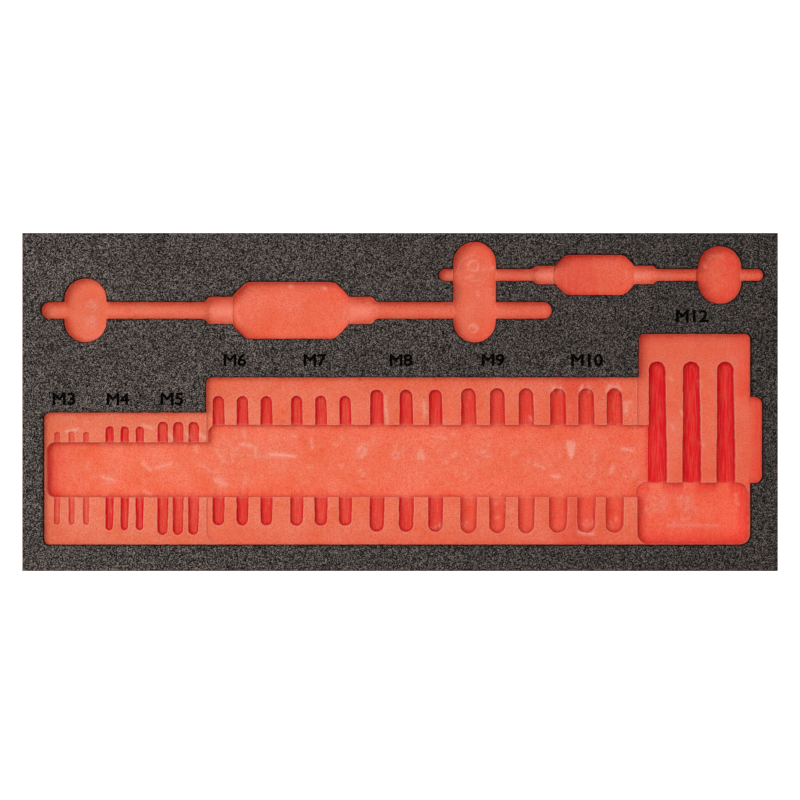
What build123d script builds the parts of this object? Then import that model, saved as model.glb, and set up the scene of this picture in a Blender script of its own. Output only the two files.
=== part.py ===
from build123d import *

import os
from dataclasses import dataclass

# Foam inlay for a tool-chest drawer, empty: seats for hand taps M3 to M12, three of each size, and for two tap
# wrenches. Two pieces make it, a red core block and a black face sheet welded all over the block's top. The pockets
# are milled through both in one clamping, so one set of pocket shapes cuts the two of them.
#
# Millimetres. The origin is the middle of the underside, +X runs along the block towards the largest taps, +Y
# towards the wrenches and +Z up. A depth is measured down from the core's top, where the face sheet starts.

# ---------------------------------------------------------------------------------------------------------- blank
core_thickness = 25.0
face_thickness = 5.0

# ---------------------------------------------------------------------------------------------------- tap recesses
# Three flat recesses step down from left to right, with their front walls in one line. The rims are the foam left
# between the pockets and the block's sides, and with the seats they add up to the block: 420 x 188.
rim_left = 11.8
rim_right = 8.4
rim_front = 14.6
rim_back = 4.8
back_band = 56.1                # from the deepest recess to the block's back edge

small_recess_width = 73.5
small_recess_depth = 3.0
middle_recess_width = 93.1
middle_recess_depth = 5.0
large_recess_width = 117.3
large_recess_depth = 7.0
recess_corner = 3.2
middle_front_corner = 7.0

# A bay lets a fingertip in beside the largest taps.
side_bay_length = 6.6
side_bay_width = 48.0
side_bay_corner = 4.2

recess_overlap = 12.0           # a recess's cutter runs on into the deeper one beside it

# A channel runs under the small and middle taps, so that fingers lift them by the middle. It widens once.
channel_depth = 15.0
channel_wide = 40.4
channel_narrow = 30.7
channel_front_gap = 26.2        # from the front wall of the recesses
channel_ledge = 0.7             # left between a recess's wall and the channel
channel_corner = 4.6            # the channel's cutter is 9 mm across
channel_end_overlap = 0.3       # into the first slot of the largest taps

# The end pocket frees the threads of the largest taps.
end_pocket_width = 34.3
end_pocket_depth = 17.4
end_pocket_corner = 6.0


# -------------------------------------------------------------------------------------------------------- tap slots
taps_per_size = 3               # taper, second and plug tap


@dataclass
class TapRow:
    """Three slots for hand taps of one size, threads to the front, centred between a recess's front and back."""

    gap: float              # from the row before, or from the recess's left wall
    pitch: float
    length: float
    thread_width: float
    shank_width: float

    @property
    def span(self):
        return (taps_per_size - 1) * self.pitch + self.thread_width


m3_taps = TapRow(gap=5.0, pitch=8.1, length=52.0, thread_width=3.0, shank_width=2.7)
m4_taps = TapRow(gap=9.6, pitch=8.4, length=58.0, thread_width=4.0, shank_width=4.0)
m5_taps = TapRow(gap=8.1, pitch=8.6, length=63.2, thread_width=5.6, shank_width=5.2)
m6_taps = TapRow(gap=3.2, pitch=13.4, length=72.4, thread_width=6.2, shank_width=6.1)
m7_taps = TapRow(gap=10.4, pitch=13.6, length=72.8, thread_width=6.8, shank_width=6.0)
m8_taps = TapRow(gap=10.4, pitch=16.4, length=79.6, thread_width=7.8, shank_width=7.1)
m9_taps = TapRow(gap=10.2, pitch=16.1, length=81.2, thread_width=8.8, shank_width=8.0)
m10_taps = TapRow(gap=8.5, pitch=15.8, length=80.8, thread_width=9.8, shank_width=8.5)
m12_taps = TapRow(gap=6.2, pitch=19.1, length=87.0, thread_width=10.0, shank_width=9.4)

small_taps = [m3_taps, m4_taps, m5_taps]
middle_taps = [m6_taps, m7_taps, m8_taps, m9_taps, m10_taps]
large_taps = [m12_taps]
small_taps_end_gap = 4.7        # from the last slot to the recess's right wall
middle_taps_end_gap = 8.0
large_taps_end_gap = 7.9


# ------------------------------------------------------------------------------------------------------ tap wrenches
@dataclass
class Wrench:
    """A tap wrench lying along X: a bar and a collar on each side of a flat body with bevelled ends."""

    back_gap: float         # from the block's back edge to the wrench's axis
    axis_depth: float
    bar_width: float
    collar_width: float
    collar_length: float
    shoulder_length: float  # of the rise from a bar to its collar
    body_width: float
    body_length: float
    body_depth: float
    left_bar: float
    right_bar: float

    @property
    def length(self):
        return self.left_bar + self.right_bar + 2 * self.collar_length + self.body_length

    @property
    def body_middle(self):
        return self.left_bar + self.collar_length + self.body_length / 2

    @property
    def bevel(self):
        return (self.body_width - self.collar_width) / 2


large_wrench = Wrench(
    back_gap=43.0,
    axis_depth=5.0,
    bar_width=9.4,
    collar_width=15.3,
    collar_length=16.4,
    shoulder_length=5.0,
    body_width=31.7,
    body_length=65.7,
    body_depth=13.4,
    left_bar=89.5,
    right_bar=96.2,
)
small_wrench = Wrench(
    back_gap=23.3,
    axis_depth=3.8,
    bar_width=6.7,
    collar_width=10.5,
    collar_length=13.2,
    shoulder_length=4.0,
    body_width=22.5,
    body_length=44.7,
    body_depth=10.4,
    left_bar=51.3,
    right_bar=58.3,
)
large_wrench_end_gap = 10.3     # from the block's left side to the handle's end
small_wrench_end_gap = 7.7      # from the block's right side
body_corner = 6.0

# Finger pockets stand across the wrenches. The shared one crosses both.
left_finger_length = 35.6
left_finger_width = 23.9
left_finger_from_end = 24.7
shared_finger_length = 56.1
shared_finger_width = 23.9
shared_finger_from_end = 19.9
right_finger_length = 32.3
right_finger_width = 24.6
right_finger_from_end = 24.4
wrench_finger_depth = 10.0
right_finger_depth = 11.6
finger_floor_corner = 2.5

cutter_reach = 2.0              # of every pocket cutter above the face
quarter_turn = 90
half_turn = 180


# -------------------------------------------------------------------------------------------------- derived places
def seat_length(rows, end_gap):
    """Length of a recess that holds these rows of slots."""
    return sum(row.gap + row.span for row in rows) + end_gap


small_length = seat_length(small_taps, small_taps_end_gap)
middle_length = seat_length(middle_taps, middle_taps_end_gap)
large_length = seat_length(large_taps, large_taps_end_gap)

block_length = rim_left + small_length + middle_length + large_length + side_bay_length + rim_right
block_width = rim_front + large_recess_width + back_band
cutter_top = core_thickness + face_thickness + cutter_reach

left_side = -block_length / 2
right_side = block_length / 2
back_side = block_width / 2
recess_front = -block_width / 2 + rim_front

small_left = left_side + rim_left
middle_left = small_left + small_length
large_left = middle_left + middle_length
large_right = large_left + large_length


# ---------------------------------------------------------------------------------------------------------- profiles
def level(depth):
    """Horizontal plane at a depth below the core's top."""
    return Plane.XY.offset(core_thickness - depth)


def turned_profile(plane, spans, shoulder):
    """Half outline of a turned tool along the plane's X, from (length, radius) spans, with a ball nose at each end.

    A step is square where shoulder is 0, and else an S of two equal arcs, cut from the thicker span's length.
    """
    total = sum(length for length, _ in spans)
    first_radius = spans[0][1]
    last_radius = spans[-1][1]
    with BuildSketch(plane) as profile:
        with BuildLine():
            JernArc((0, 0), (0, 1), first_radius, -quarter_turn)
            here = (first_radius, first_radius)
            x = 0
            for (length, radius), (_, next_radius) in zip(spans, spans[1:]):
                x += length
                if radius == next_radius:
                    continue
                start = (x - shoulder if next_radius < radius else x, radius)
                end = (start[0] + shoulder, next_radius)
                Line(here, start)
                if shoulder:
                    middle = ((start[0] + end[0]) / 2, (start[1] + end[1]) / 2)
                    TangentArc(start, middle, tangent=(1, 0))
                    TangentArc(end, middle, tangent=(-1, 0))
                else:
                    Line(start, end)
                here = end
            Line(here, (total - last_radius, last_radius))
            JernArc((total - last_radius, last_radius), (1, 0), last_radius, -quarter_turn)
            Line((total, 0), (0, 0))
        make_face()
    return profile


def sink_turned_tool(plane, spans, shoulder=0):
    """Cutter for a turned tool lying at the plane: round below its axis, with straight walls from there up."""
    half = turned_profile(plane, spans, shoulder)
    with BuildSketch(plane) as whole:
        add(half.sketch_local)
        mirror(about=Plane.XZ)
    revolve(half.sketch, axis=Axis(plane.origin, -plane.x_dir), revolution_arc=half_turn)
    extrude(whole.sketch, amount=cutter_top - plane.origin.Z)


def sink_tap_slots(rows, recess_left, recess_width, recess_depth):
    """Cutters for rows of tap slots in one recess."""
    x = recess_left
    for row in rows:
        x += row.gap + row.thread_width / 2
        front = recess_front + (recess_width - row.length) / 2
        axis_z = core_thickness - recess_depth - row.thread_width / 2
        for _ in range(taps_per_size):
            axis = Plane(origin=(x, front, axis_z), x_dir=(0, 1, 0), z_dir=(0, 0, 1))
            half_length = row.length / 2
            sink_turned_tool(axis, [(half_length, row.thread_width / 2), (half_length, row.shank_width / 2)])
            x += row.pitch
        x += row.thread_width / 2 - row.pitch


def sink_wrench(wrench, left):
    """Cutter for a tap wrench whose left handle ends at left."""
    y = back_side - wrench.back_gap
    axis = Plane(origin=(left, y, core_thickness - wrench.axis_depth))
    spans = [
        (wrench.left_bar, wrench.bar_width / 2),
        (2 * wrench.collar_length + wrench.body_length, wrench.collar_width / 2),
        (wrench.right_bar, wrench.bar_width / 2),
    ]
    sink_turned_tool(axis, spans, wrench.shoulder_length)
    with BuildSketch(level(wrench.body_depth)) as body:
        with Locations((left + wrench.body_middle, y)):
            Rectangle(wrench.body_length, wrench.body_width)
        chamfer(body.vertices(), wrench.bevel)
        fillet(body.vertices(), body_corner)
    extrude(body.sketch, amount=cutter_top - core_thickness + wrench.body_depth)


def finger_pocket(x, y, length, width, depth):
    """Cutter for an upright oblong finger pocket with a rounded floor edge."""
    with BuildPart() as pocket:
        with BuildSketch(level(depth)):
            with Locations((x, y)):
                SlotOverall(length, width, rotation=quarter_turn)
        extrude(amount=cutter_top - core_thickness + depth)
        fillet(pocket.edges().group_by(Axis.Z)[0], finger_floor_corner)
    return pocket.part


# ------------------------------------------------------------------------------------------------- pocket cutters
with BuildPart() as recesses:
    with BuildSketch(level(small_recess_depth)) as small_recess:
        # It runs on under the middle recess's round front corner, where its own floor shows.
        with Locations((small_left, recess_front)):
            Rectangle(
                small_length + middle_front_corner,
                small_recess_width,
                align=(Align.MIN, Align.MIN),
            )
        fillet(small_recess.vertices().group_by(Axis.X)[0], recess_corner)
    extrude(amount=cutter_top - core_thickness + small_recess_depth)
    with BuildSketch(level(middle_recess_depth)) as middle_recess:
        with Locations((middle_left, recess_front)):
            Rectangle(
                middle_length + recess_overlap,
                middle_recess_width,
                align=(Align.MIN, Align.MIN),
            )
        fillet(middle_recess.vertices().group_by(Axis.X)[0].sort_by(Axis.Y)[0], middle_front_corner)
        fillet(middle_recess.vertices().group_by(Axis.X)[0].sort_by(Axis.Y)[-1], recess_corner)
    extrude(amount=cutter_top - core_thickness + middle_recess_depth)
    with BuildSketch(level(large_recess_depth)) as large_recess:
        with Locations((large_left, recess_front)):
            Rectangle(large_length, large_recess_width, align=(Align.MIN, Align.MIN))
        fillet(large_recess.vertices().group_by(Axis.Y)[-1], recess_corner)
        fillet(large_recess.vertices().group_by(Axis.Y)[0], end_pocket_corner)
    extrude(amount=cutter_top - core_thickness + large_recess_depth)
    with BuildSketch(level(large_recess_depth)) as side_bay:
        with Locations((large_right + side_bay_length, recess_front + end_pocket_width)):
            Rectangle(
                side_bay_length + recess_overlap,
                side_bay_width,
                align=(Align.MAX, Align.MIN),
            )
        fillet(side_bay.vertices().group_by(Axis.X)[-1], side_bay_corner)
    extrude(amount=cutter_top - core_thickness + large_recess_depth)

with BuildPart() as troughs:
    channel_left = small_left + channel_ledge
    channel_step = middle_left + channel_ledge
    channel_right = large_left + m12_taps.gap + channel_end_overlap
    channel_front = recess_front + channel_front_gap
    with BuildSketch(level(channel_depth)) as channel:
        with Locations((channel_left, channel_front)):
            Rectangle(channel_right - channel_left, channel_narrow, align=(Align.MIN, Align.MIN))
        with Locations((channel_step, channel_front)):
            Rectangle(channel_right - channel_step, channel_wide, align=(Align.MIN, Align.MIN))
        fillet(channel.vertices().group_by(Axis.X)[0], channel_corner)
        fillet(channel.vertices().group_by(Axis.Y)[-1].sort_by(Axis.X)[0], channel_corner)
    extrude(amount=cutter_top - core_thickness + channel_depth)
    with BuildSketch(level(end_pocket_depth)) as end_pocket:
        with Locations((large_left, recess_front)):
            Rectangle(large_length, end_pocket_width, align=(Align.MIN, Align.MIN))
        fillet(end_pocket.vertices(), end_pocket_corner)
    extrude(amount=cutter_top - core_thickness + end_pocket_depth)

with BuildPart() as tap_slots:
    sink_tap_slots(small_taps, small_left, small_recess_width, small_recess_depth)
    sink_tap_slots(middle_taps, middle_left, middle_recess_width, middle_recess_depth)
    sink_tap_slots(large_taps, large_left, large_recess_width, large_recess_depth)

with BuildPart() as wrench_pockets:
    large_wrench_left = left_side + large_wrench_end_gap
    small_wrench_left = right_side - small_wrench_end_gap - small_wrench.length
    large_axis_y = back_side - large_wrench.back_gap
    small_axis_y = back_side - small_wrench.back_gap
    sink_wrench(large_wrench, large_wrench_left)
    sink_wrench(small_wrench, small_wrench_left)
    add(
        finger_pocket(
            large_wrench_left + left_finger_from_end,
            large_axis_y,
            left_finger_length,
            left_finger_width,
            wrench_finger_depth,
        )
    )
    add(
        finger_pocket(
            small_wrench_left + shared_finger_from_end,
            back_side - rim_back - shared_finger_length / 2,
            shared_finger_length,
            shared_finger_width,
            wrench_finger_depth,
        )
    )
    add(
        finger_pocket(
            small_wrench_left + small_wrench.length - right_finger_from_end,
            small_axis_y,
            right_finger_length,
            right_finger_width,
            right_finger_depth,
        )
    )

# ------------------------------------------------------------------------------------------------------ the pieces
with BuildPart() as core_block:
    Box(block_length, block_width, core_thickness, align=(Align.CENTER, Align.CENTER, Align.MIN))
    for cutter in (recesses, troughs, tap_slots, wrench_pockets):
        add(cutter.part, mode=Mode.SUBTRACT)
core_block.part.label = "core_block"

with BuildPart() as face_sheet:
    with Locations((0, 0, core_thickness)):
        Box(block_length, block_width, face_thickness, align=(Align.CENTER, Align.CENTER, Align.MIN))
    for cutter in (recesses, troughs, tap_slots, wrench_pockets):
        add(cutter.part, mode=Mode.SUBTRACT)
face_sheet.part.label = "face_sheet"

os.makedirs("parts", exist_ok=True)
export_step(core_block.part, "parts/core_block.step")
export_step(face_sheet.part, "parts/face_sheet.step")
print("block", block_length, block_width, core_thickness + face_thickness)
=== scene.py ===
"""Foam inlay of a tool-chest drawer: a black face sheet on a red core, milled for hand taps and two tap wrenches.

Both pieces are cut from the plan of the pockets. Every pocket is an outline with a floor, all outlines go into one
triangulation of the plan, and each of its points gets the height that the cutters leave there. Lengths are in
millimetres until a mesh is written, the origin is the middle of the underside, +X runs towards the largest taps,
+Y towards the wrenches and +Z up.
"""
import logging
import math
from abc import ABC, abstractmethod
from dataclasses import dataclass, replace
from enum import Enum
from typing import Any, Callable

import bpy
import numpy as np
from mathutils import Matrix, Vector, noise
from mathutils.geometry import delaunay_2d_cdt


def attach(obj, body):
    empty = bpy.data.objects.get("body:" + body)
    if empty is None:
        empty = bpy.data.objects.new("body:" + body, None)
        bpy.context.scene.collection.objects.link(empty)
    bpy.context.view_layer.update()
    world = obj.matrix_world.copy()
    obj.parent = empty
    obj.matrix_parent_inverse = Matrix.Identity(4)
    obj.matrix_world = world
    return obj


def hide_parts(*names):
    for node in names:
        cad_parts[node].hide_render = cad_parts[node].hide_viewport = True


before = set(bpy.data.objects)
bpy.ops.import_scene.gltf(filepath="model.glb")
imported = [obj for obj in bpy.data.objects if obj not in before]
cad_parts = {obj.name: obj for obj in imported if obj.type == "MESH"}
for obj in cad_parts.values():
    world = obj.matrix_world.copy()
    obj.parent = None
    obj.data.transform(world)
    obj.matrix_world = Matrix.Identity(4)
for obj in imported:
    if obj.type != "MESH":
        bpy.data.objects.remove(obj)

LOG = logging.getLogger("inlay")
MM = 0.001
PHOTO_SIDE = 800
FAR = 99.0                      # stands for a distance that is too long to matter
MERGE = 1e-5                    # points nearer than this are one point
STRIP = 5.0                     # width of the strips in which distances are measured
RAG_STEP = 0.8                  # spacing of the points along a cut edge
RAGS = ((0.14, 4.0), (0.2, 1.3))    # how far a cut edge strays, and over what length
LEAST_GAP = 0.02                # points of a cut edge nearer than this are left out
HAIR = 0.01                     # stands for no size at all where there has to be one
TINY = 1e-18                    # keeps a division from having nothing to divide by
ARC_STEP = math.radians(11)     # the most that one chord of a rounded corner turns
SHOULDER_POINTS = 6             # points along each arc of a soft shoulder
NOSE_POINTS = 9                 # points along the arc of a ball nose
GUIDE_SHARES = (0.97, 0.88, 0.72, 0.5, 0.25)    # of the radius, where lines run along a round floor
GUIDE_STEP = 5.0                # spacing of the points along such a line
RIDGED_STEP = 0.4               # the same where the floor has chatter marks
GUIDE_GAP = 0.6                 # how far such a line stays from the end of its stretch
JITTER = 0.18                   # how far a lattice's points stray, in steps
CREASE = math.radians(32)       # a sharper turn than this is an edge


# ---------------------------------------------------------------------------------------------------- node helpers
def add_node(tree: bpy.types.NodeTree, kind: str, settings: dict[str, Any] | None = None,
             inputs: dict[Any, Any] | None = None) -> bpy.types.Node:
    """Adds one node to a tree.

    Args:
        tree: the material's or modifier's node tree.
        kind: the node's type name.
        settings: attributes set on the node.
        inputs: by socket name or number, a value or the socket that feeds it.

    Returns:
        The new node.
    """
    node = tree.nodes.new(kind)
    for name, value in (settings or {}).items():
        setattr(node, name, value)
    for key, value in (inputs or {}).items():
        if isinstance(value, bpy.types.NodeSocket):
            tree.links.new(value, node.inputs[key])
        else:
            node.inputs[key].default_value = value
    return node


def linear(hex_colour: str) -> tuple[float, float, float, float]:
    """Turns an sRGB hex colour into a linear one with full alpha."""
    channels = [int(hex_colour[i:i + 2], 16) / 255 for i in (1, 3, 5)]
    return (*[c / 12.92 if c <= 0.04045 else ((c + 0.055) / 1.055) ** 2.4 for c in channels], 1.0)


def new_material(name: str) -> tuple[bpy.types.Material, bpy.types.NodeTree, bpy.types.NodeSocket]:
    """Starts a material.

    Args:
        name: the real material's name.

    Returns:
        The material, its empty tree and a socket with the place on the object.
    """
    material = bpy.data.materials.new(name)
    material.use_nodes = True
    material.node_tree.nodes.clear()
    return material, material.node_tree, add_node(material.node_tree, "ShaderNodeTexCoord").outputs["Object"]


def new_tree(name: str, inputs: dict[str, tuple[str, Any]]) -> tuple[bpy.types.NodeTree, bpy.types.Node]:
    """Starts a geometry tree with named inputs and a geometry output.

    Args:
        name: the tree's name.
        inputs: by name, the socket's type and its default.

    Returns:
        The tree and its group input node.
    """
    tree = bpy.data.node_groups.new(name, "GeometryNodeTree")
    tree.interface.new_socket("Geometry", in_out="INPUT", socket_type="NodeSocketGeometry")
    tree.interface.new_socket("Geometry", in_out="OUTPUT", socket_type="NodeSocketGeometry")
    for label, (kind, default) in inputs.items():
        socket = tree.interface.new_socket(label, in_out="INPUT", socket_type=kind)
        if default is not None:
            socket.default_value = default
    return tree, add_node(tree, "NodeGroupInput")


def grown(tree: bpy.types.NodeTree, base: bpy.types.Mesh, values: dict[str, Any]) -> bpy.types.Mesh:
    """Runs a geometry tree on a mesh and keeps the result as a plain mesh.

    Args:
        tree: the geometry tree.
        base: the mesh that it starts from, which is deleted afterwards.
        values: by input name, the value to use.

    Returns:
        The resulting mesh.
    """
    obj = bpy.data.objects.new(tree.name, base)
    bpy.context.scene.collection.objects.link(obj)
    modifier = obj.modifiers.new(tree.name, "NODES")
    modifier.node_group = tree
    for item in tree.interface.items_tree:
        if item.in_out == "INPUT" and item.name in values:
            modifier[item.identifier] = values[item.name]
    obj.update_tag()
    graph = bpy.context.evaluated_depsgraph_get()
    result = bpy.data.meshes.new_from_object(obj.evaluated_get(graph), depsgraph=graph)
    bpy.data.objects.remove(obj)
    bpy.data.meshes.remove(base)
    return result


def wire_mesh(lines: list[np.ndarray], closed: bool) -> bpy.types.Mesh:
    """Makes a mesh of edges only from lines in the plan or in space, in metres."""
    points, edges, count = [], [], 0
    for line in lines:
        flat = line if line.shape[1] == 3 else np.column_stack([line, np.zeros(len(line))])
        points += (flat * MM).tolist()
        edges += [(count + k, count + k + 1) for k in range(len(line) - 1)]
        edges += [(count + len(line) - 1, count)] if closed else []
        count += len(line)
    mesh = bpy.data.meshes.new("lines")
    mesh.from_pydata(points, edges, [])
    return mesh


def torn_shred_tree() -> bpy.types.NodeTree:
    """Builds the tree that grows a crooked shred with tapered ends along each line."""
    tree, given = new_tree("torn_shreds", {
        "Width": ("NodeSocketFloat", 0.0006), "Spacing": ("NodeSocketFloat", 0.0004),
        "Crookedness": ("NodeSocketFloat", 0.001), "Seed": ("NodeSocketInt", 1),
        "Finish": ("NodeSocketMaterial", None)})
    line = add_node(tree, "GeometryNodeMeshToCurve", inputs={"Mesh": given.outputs["Geometry"]})
    even = add_node(tree, "GeometryNodeResampleCurve", {"mode": "LENGTH"}, {
        "Curve": line.outputs["Curve"], "Length": given.outputs["Spacing"]})
    place = add_node(tree, "GeometryNodeInputPosition")
    wobble = add_node(tree, "ShaderNodeTexNoise", {"noise_dimensions": "4D"}, {
        "Vector": place.outputs["Position"], "W": given.outputs["Seed"], "Scale": 1 / (2 * MM)})
    centred = add_node(tree, "ShaderNodeVectorMath", {"operation": "SUBTRACT"}, {
        0: wobble.outputs["Color"], 1: (0.5, 0.5, 0.5)})
    level = add_node(tree, "ShaderNodeVectorMath", {"operation": "MULTIPLY"}, {
        0: centred.outputs["Vector"], 1: (1.0, 1.0, 0.0)})
    shift = add_node(tree, "ShaderNodeVectorMath", {"operation": "SCALE"}, {
        0: level.outputs["Vector"], "Scale": given.outputs["Crookedness"]})
    crooked = add_node(tree, "GeometryNodeSetPosition", inputs={
        "Geometry": even.outputs["Curve"], "Offset": shift.outputs["Vector"]})
    share = add_node(tree, "GeometryNodeSplineParameter")
    rest = add_node(tree, "ShaderNodeMath", {"operation": "SUBTRACT"}, {0: 1.0, 1: share.outputs["Factor"]})
    bow = add_node(tree, "ShaderNodeMath", {"operation": "MULTIPLY"}, {
        0: share.outputs["Factor"], 1: rest.outputs[0]})
    taper = add_node(tree, "ShaderNodeMapRange", inputs={
        "Value": bow.outputs[0], "From Max": 0.2, "To Min": 0.12, "To Max": 1.0})
    tapered = add_node(tree, "GeometryNodeSetCurveRadius", inputs={
        "Curve": crooked.outputs["Geometry"], "Radius": taper.outputs["Result"]})
    half = add_node(tree, "ShaderNodeMath", {"operation": "MULTIPLY"}, {0: given.outputs["Width"], 1: 0.5})
    section = add_node(tree, "GeometryNodeCurvePrimitiveCircle", inputs={
        "Resolution": 6, "Radius": half.outputs[0]})
    tube = add_node(tree, "GeometryNodeCurveToMesh", inputs={
        "Curve": tapered.outputs["Curve"], "Profile Curve": section.outputs["Curve"], "Fill Caps": True})
    real = add_node(tree, "GeometryNodeRealizeInstances", inputs={"Geometry": tube.outputs["Mesh"]})
    dressed = add_node(tree, "GeometryNodeSetMaterial", inputs={
        "Geometry": real.outputs["Geometry"], "Material": given.outputs["Finish"]})
    add_node(tree, "NodeGroupOutput", inputs={"Geometry": dressed.outputs["Geometry"]})
    return tree


def slot_row_tree() -> bpy.types.NodeTree:
    """Builds the tree that repeats one slot's outline along a row at the taps' pitch."""
    tree, given = new_tree("slot_row", {
        "Taps": ("NodeSocketInt", 3), "Pitch": ("NodeSocketFloat", 0.01),
        "Finish": ("NodeSocketMaterial", None)})
    step = add_node(tree, "ShaderNodeCombineXYZ", inputs={"X": given.outputs["Pitch"]})
    row = add_node(tree, "GeometryNodeMeshLine", inputs={
        "Count": given.outputs["Taps"], "Offset": step.outputs["Vector"]})
    slots = add_node(tree, "GeometryNodeInstanceOnPoints", inputs={
        "Points": row.outputs["Mesh"], "Instance": given.outputs["Geometry"]})
    real = add_node(tree, "GeometryNodeRealizeInstances", inputs={"Geometry": slots.outputs["Instances"]})
    dressed = add_node(tree, "GeometryNodeSetMaterial", inputs={
        "Geometry": real.outputs["Geometry"], "Material": given.outputs["Finish"]})
    add_node(tree, "NodeGroupOutput", inputs={"Geometry": dressed.outputs["Geometry"]})
    return tree


def repeated(loop: np.ndarray, times: int, pitch: float) -> list[np.ndarray]:
    """Repeats a slot's outline along X.

    Args:
        loop: the first slot's outline.
        times: how many slots there are.
        pitch: from one to the next.

    Returns:
        The outlines from left to right.
    """
    tree = bpy.data.node_groups.get("slot_row") or slot_row_tree()
    mesh = grown(tree, wire_mesh([loop], True), {"Taps": times, "Pitch": pitch * MM})
    points = np.array([v.co[:2] for v in mesh.vertices]) / MM
    bpy.data.meshes.remove(mesh)
    return sorted(points.reshape(times, len(loop), 2), key=lambda slot: slot[0, 0])


# --------------------------------------------------------------------------------------------------------- outlines
def rounded_polygon(corners: list[tuple[float, float]], radii: list[float], step: float = 2.0) -> np.ndarray:
    """Draws a closed polygon whose corners are arcs, with points no further apart than a step.

    Args:
        corners: the corners, counter-clockwise.
        radii: one radius for each corner, 0 for a sharp one.
        step: longest distance between points.

    Returns:
        The loop's points, one row each.
    """
    points: list[np.ndarray] = []
    count = len(corners)
    for i, radius in enumerate(radii):
        corner = np.array(corners[i], float)
        before = np.array(corners[i - 1], float) - corner
        after = np.array(corners[(i + 1) % count], float) - corner
        before /= np.linalg.norm(before)
        after /= np.linalg.norm(after)
        if radius == 0:
            points.append(corner)
            continue
        half_angle = math.acos(float(np.clip(before @ after, -1, 1))) / 2
        middle = (before + after) / np.linalg.norm(before + after)
        centre = corner + middle * radius / math.sin(half_angle)
        first = corner + before * radius / math.tan(half_angle) - centre
        last = corner + after * radius / math.tan(half_angle) - centre
        turn = math.atan2(first[0] * last[1] - first[1] * last[0], float(first @ last))
        parts = max(2, math.ceil(abs(turn) / ARC_STEP))
        for k in range(parts + 1):
            angle = turn * k / parts
            c, s = math.cos(angle), math.sin(angle)
            points.append(centre + np.array([c * first[0] - s * first[1], s * first[0] + c * first[1]]))
    return divided(np.array(points), step)


def divided(loop: np.ndarray, step: float) -> np.ndarray:
    """Adds points to a closed loop, so that none is further than a step from the next."""
    pieces = []
    for start, end in zip(loop, np.roll(loop, -1, axis=0)):
        parts = max(1, math.ceil(float(np.linalg.norm(end - start)) / step))
        pieces.append(start + (end - start) * (np.arange(parts) / parts)[:, None])
    return np.concatenate(pieces)


def rectangle(left: float, front: float, right: float, back: float, radii: list[float],
              step: float = 2.0) -> np.ndarray:
    """Draws a rectangle with the corner radii in the order front left, front right, back right, back left."""
    return rounded_polygon([(left, front), (right, front), (right, back), (left, back)], radii, step)


def wandering(loop: np.ndarray, seed: float) -> np.ndarray:
    """Moves a loop's points in and out a little, as a cutter wanders in soft foam and tears its cells."""
    fine = divided(loop, RAG_STEP)
    fine = fine[np.linalg.norm(fine - np.roll(fine, 1, axis=0), axis=1) > LEAST_GAP]
    shift = [sum(amount * noise.noise(Vector((x / size, y / size, seed))) for amount, size in RAGS)
             for x, y in fine]
    return fine + normals(fine) * np.array(shift)[:, None]


def double_arc(length: float, height: float) -> list[tuple[float, float]]:
    """Draws a step as an S of two equal arcs.

    Args:
        length: the step's length.
        height: the step's height.

    Returns:
        Pairs of a distance from the step's start and the share of its height there.
    """
    radius = (length ** 2 + height ** 2) / (4 * height)
    half = [(t, (radius - math.sqrt(radius ** 2 - t ** 2)) / height)
            for t in np.linspace(0, length / 2, SHOULDER_POINTS)]
    return half + [(length - t, 1 - rise) for t, rise in half[-2::-1]]


def normals(loop: np.ndarray) -> np.ndarray:
    """Gives each point of a closed counter-clockwise loop its mitred normal, outwards."""
    edge = np.roll(loop, -1, axis=0) - loop
    edge /= np.maximum(np.linalg.norm(edge, axis=1), 1e-9)[:, None]
    out = np.stack([edge[:, 1], -edge[:, 0]], axis=1)
    both = out + np.roll(out, 1, axis=0)
    return 2 * both / np.maximum((both ** 2).sum(axis=1), 1.0)[:, None]


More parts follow.
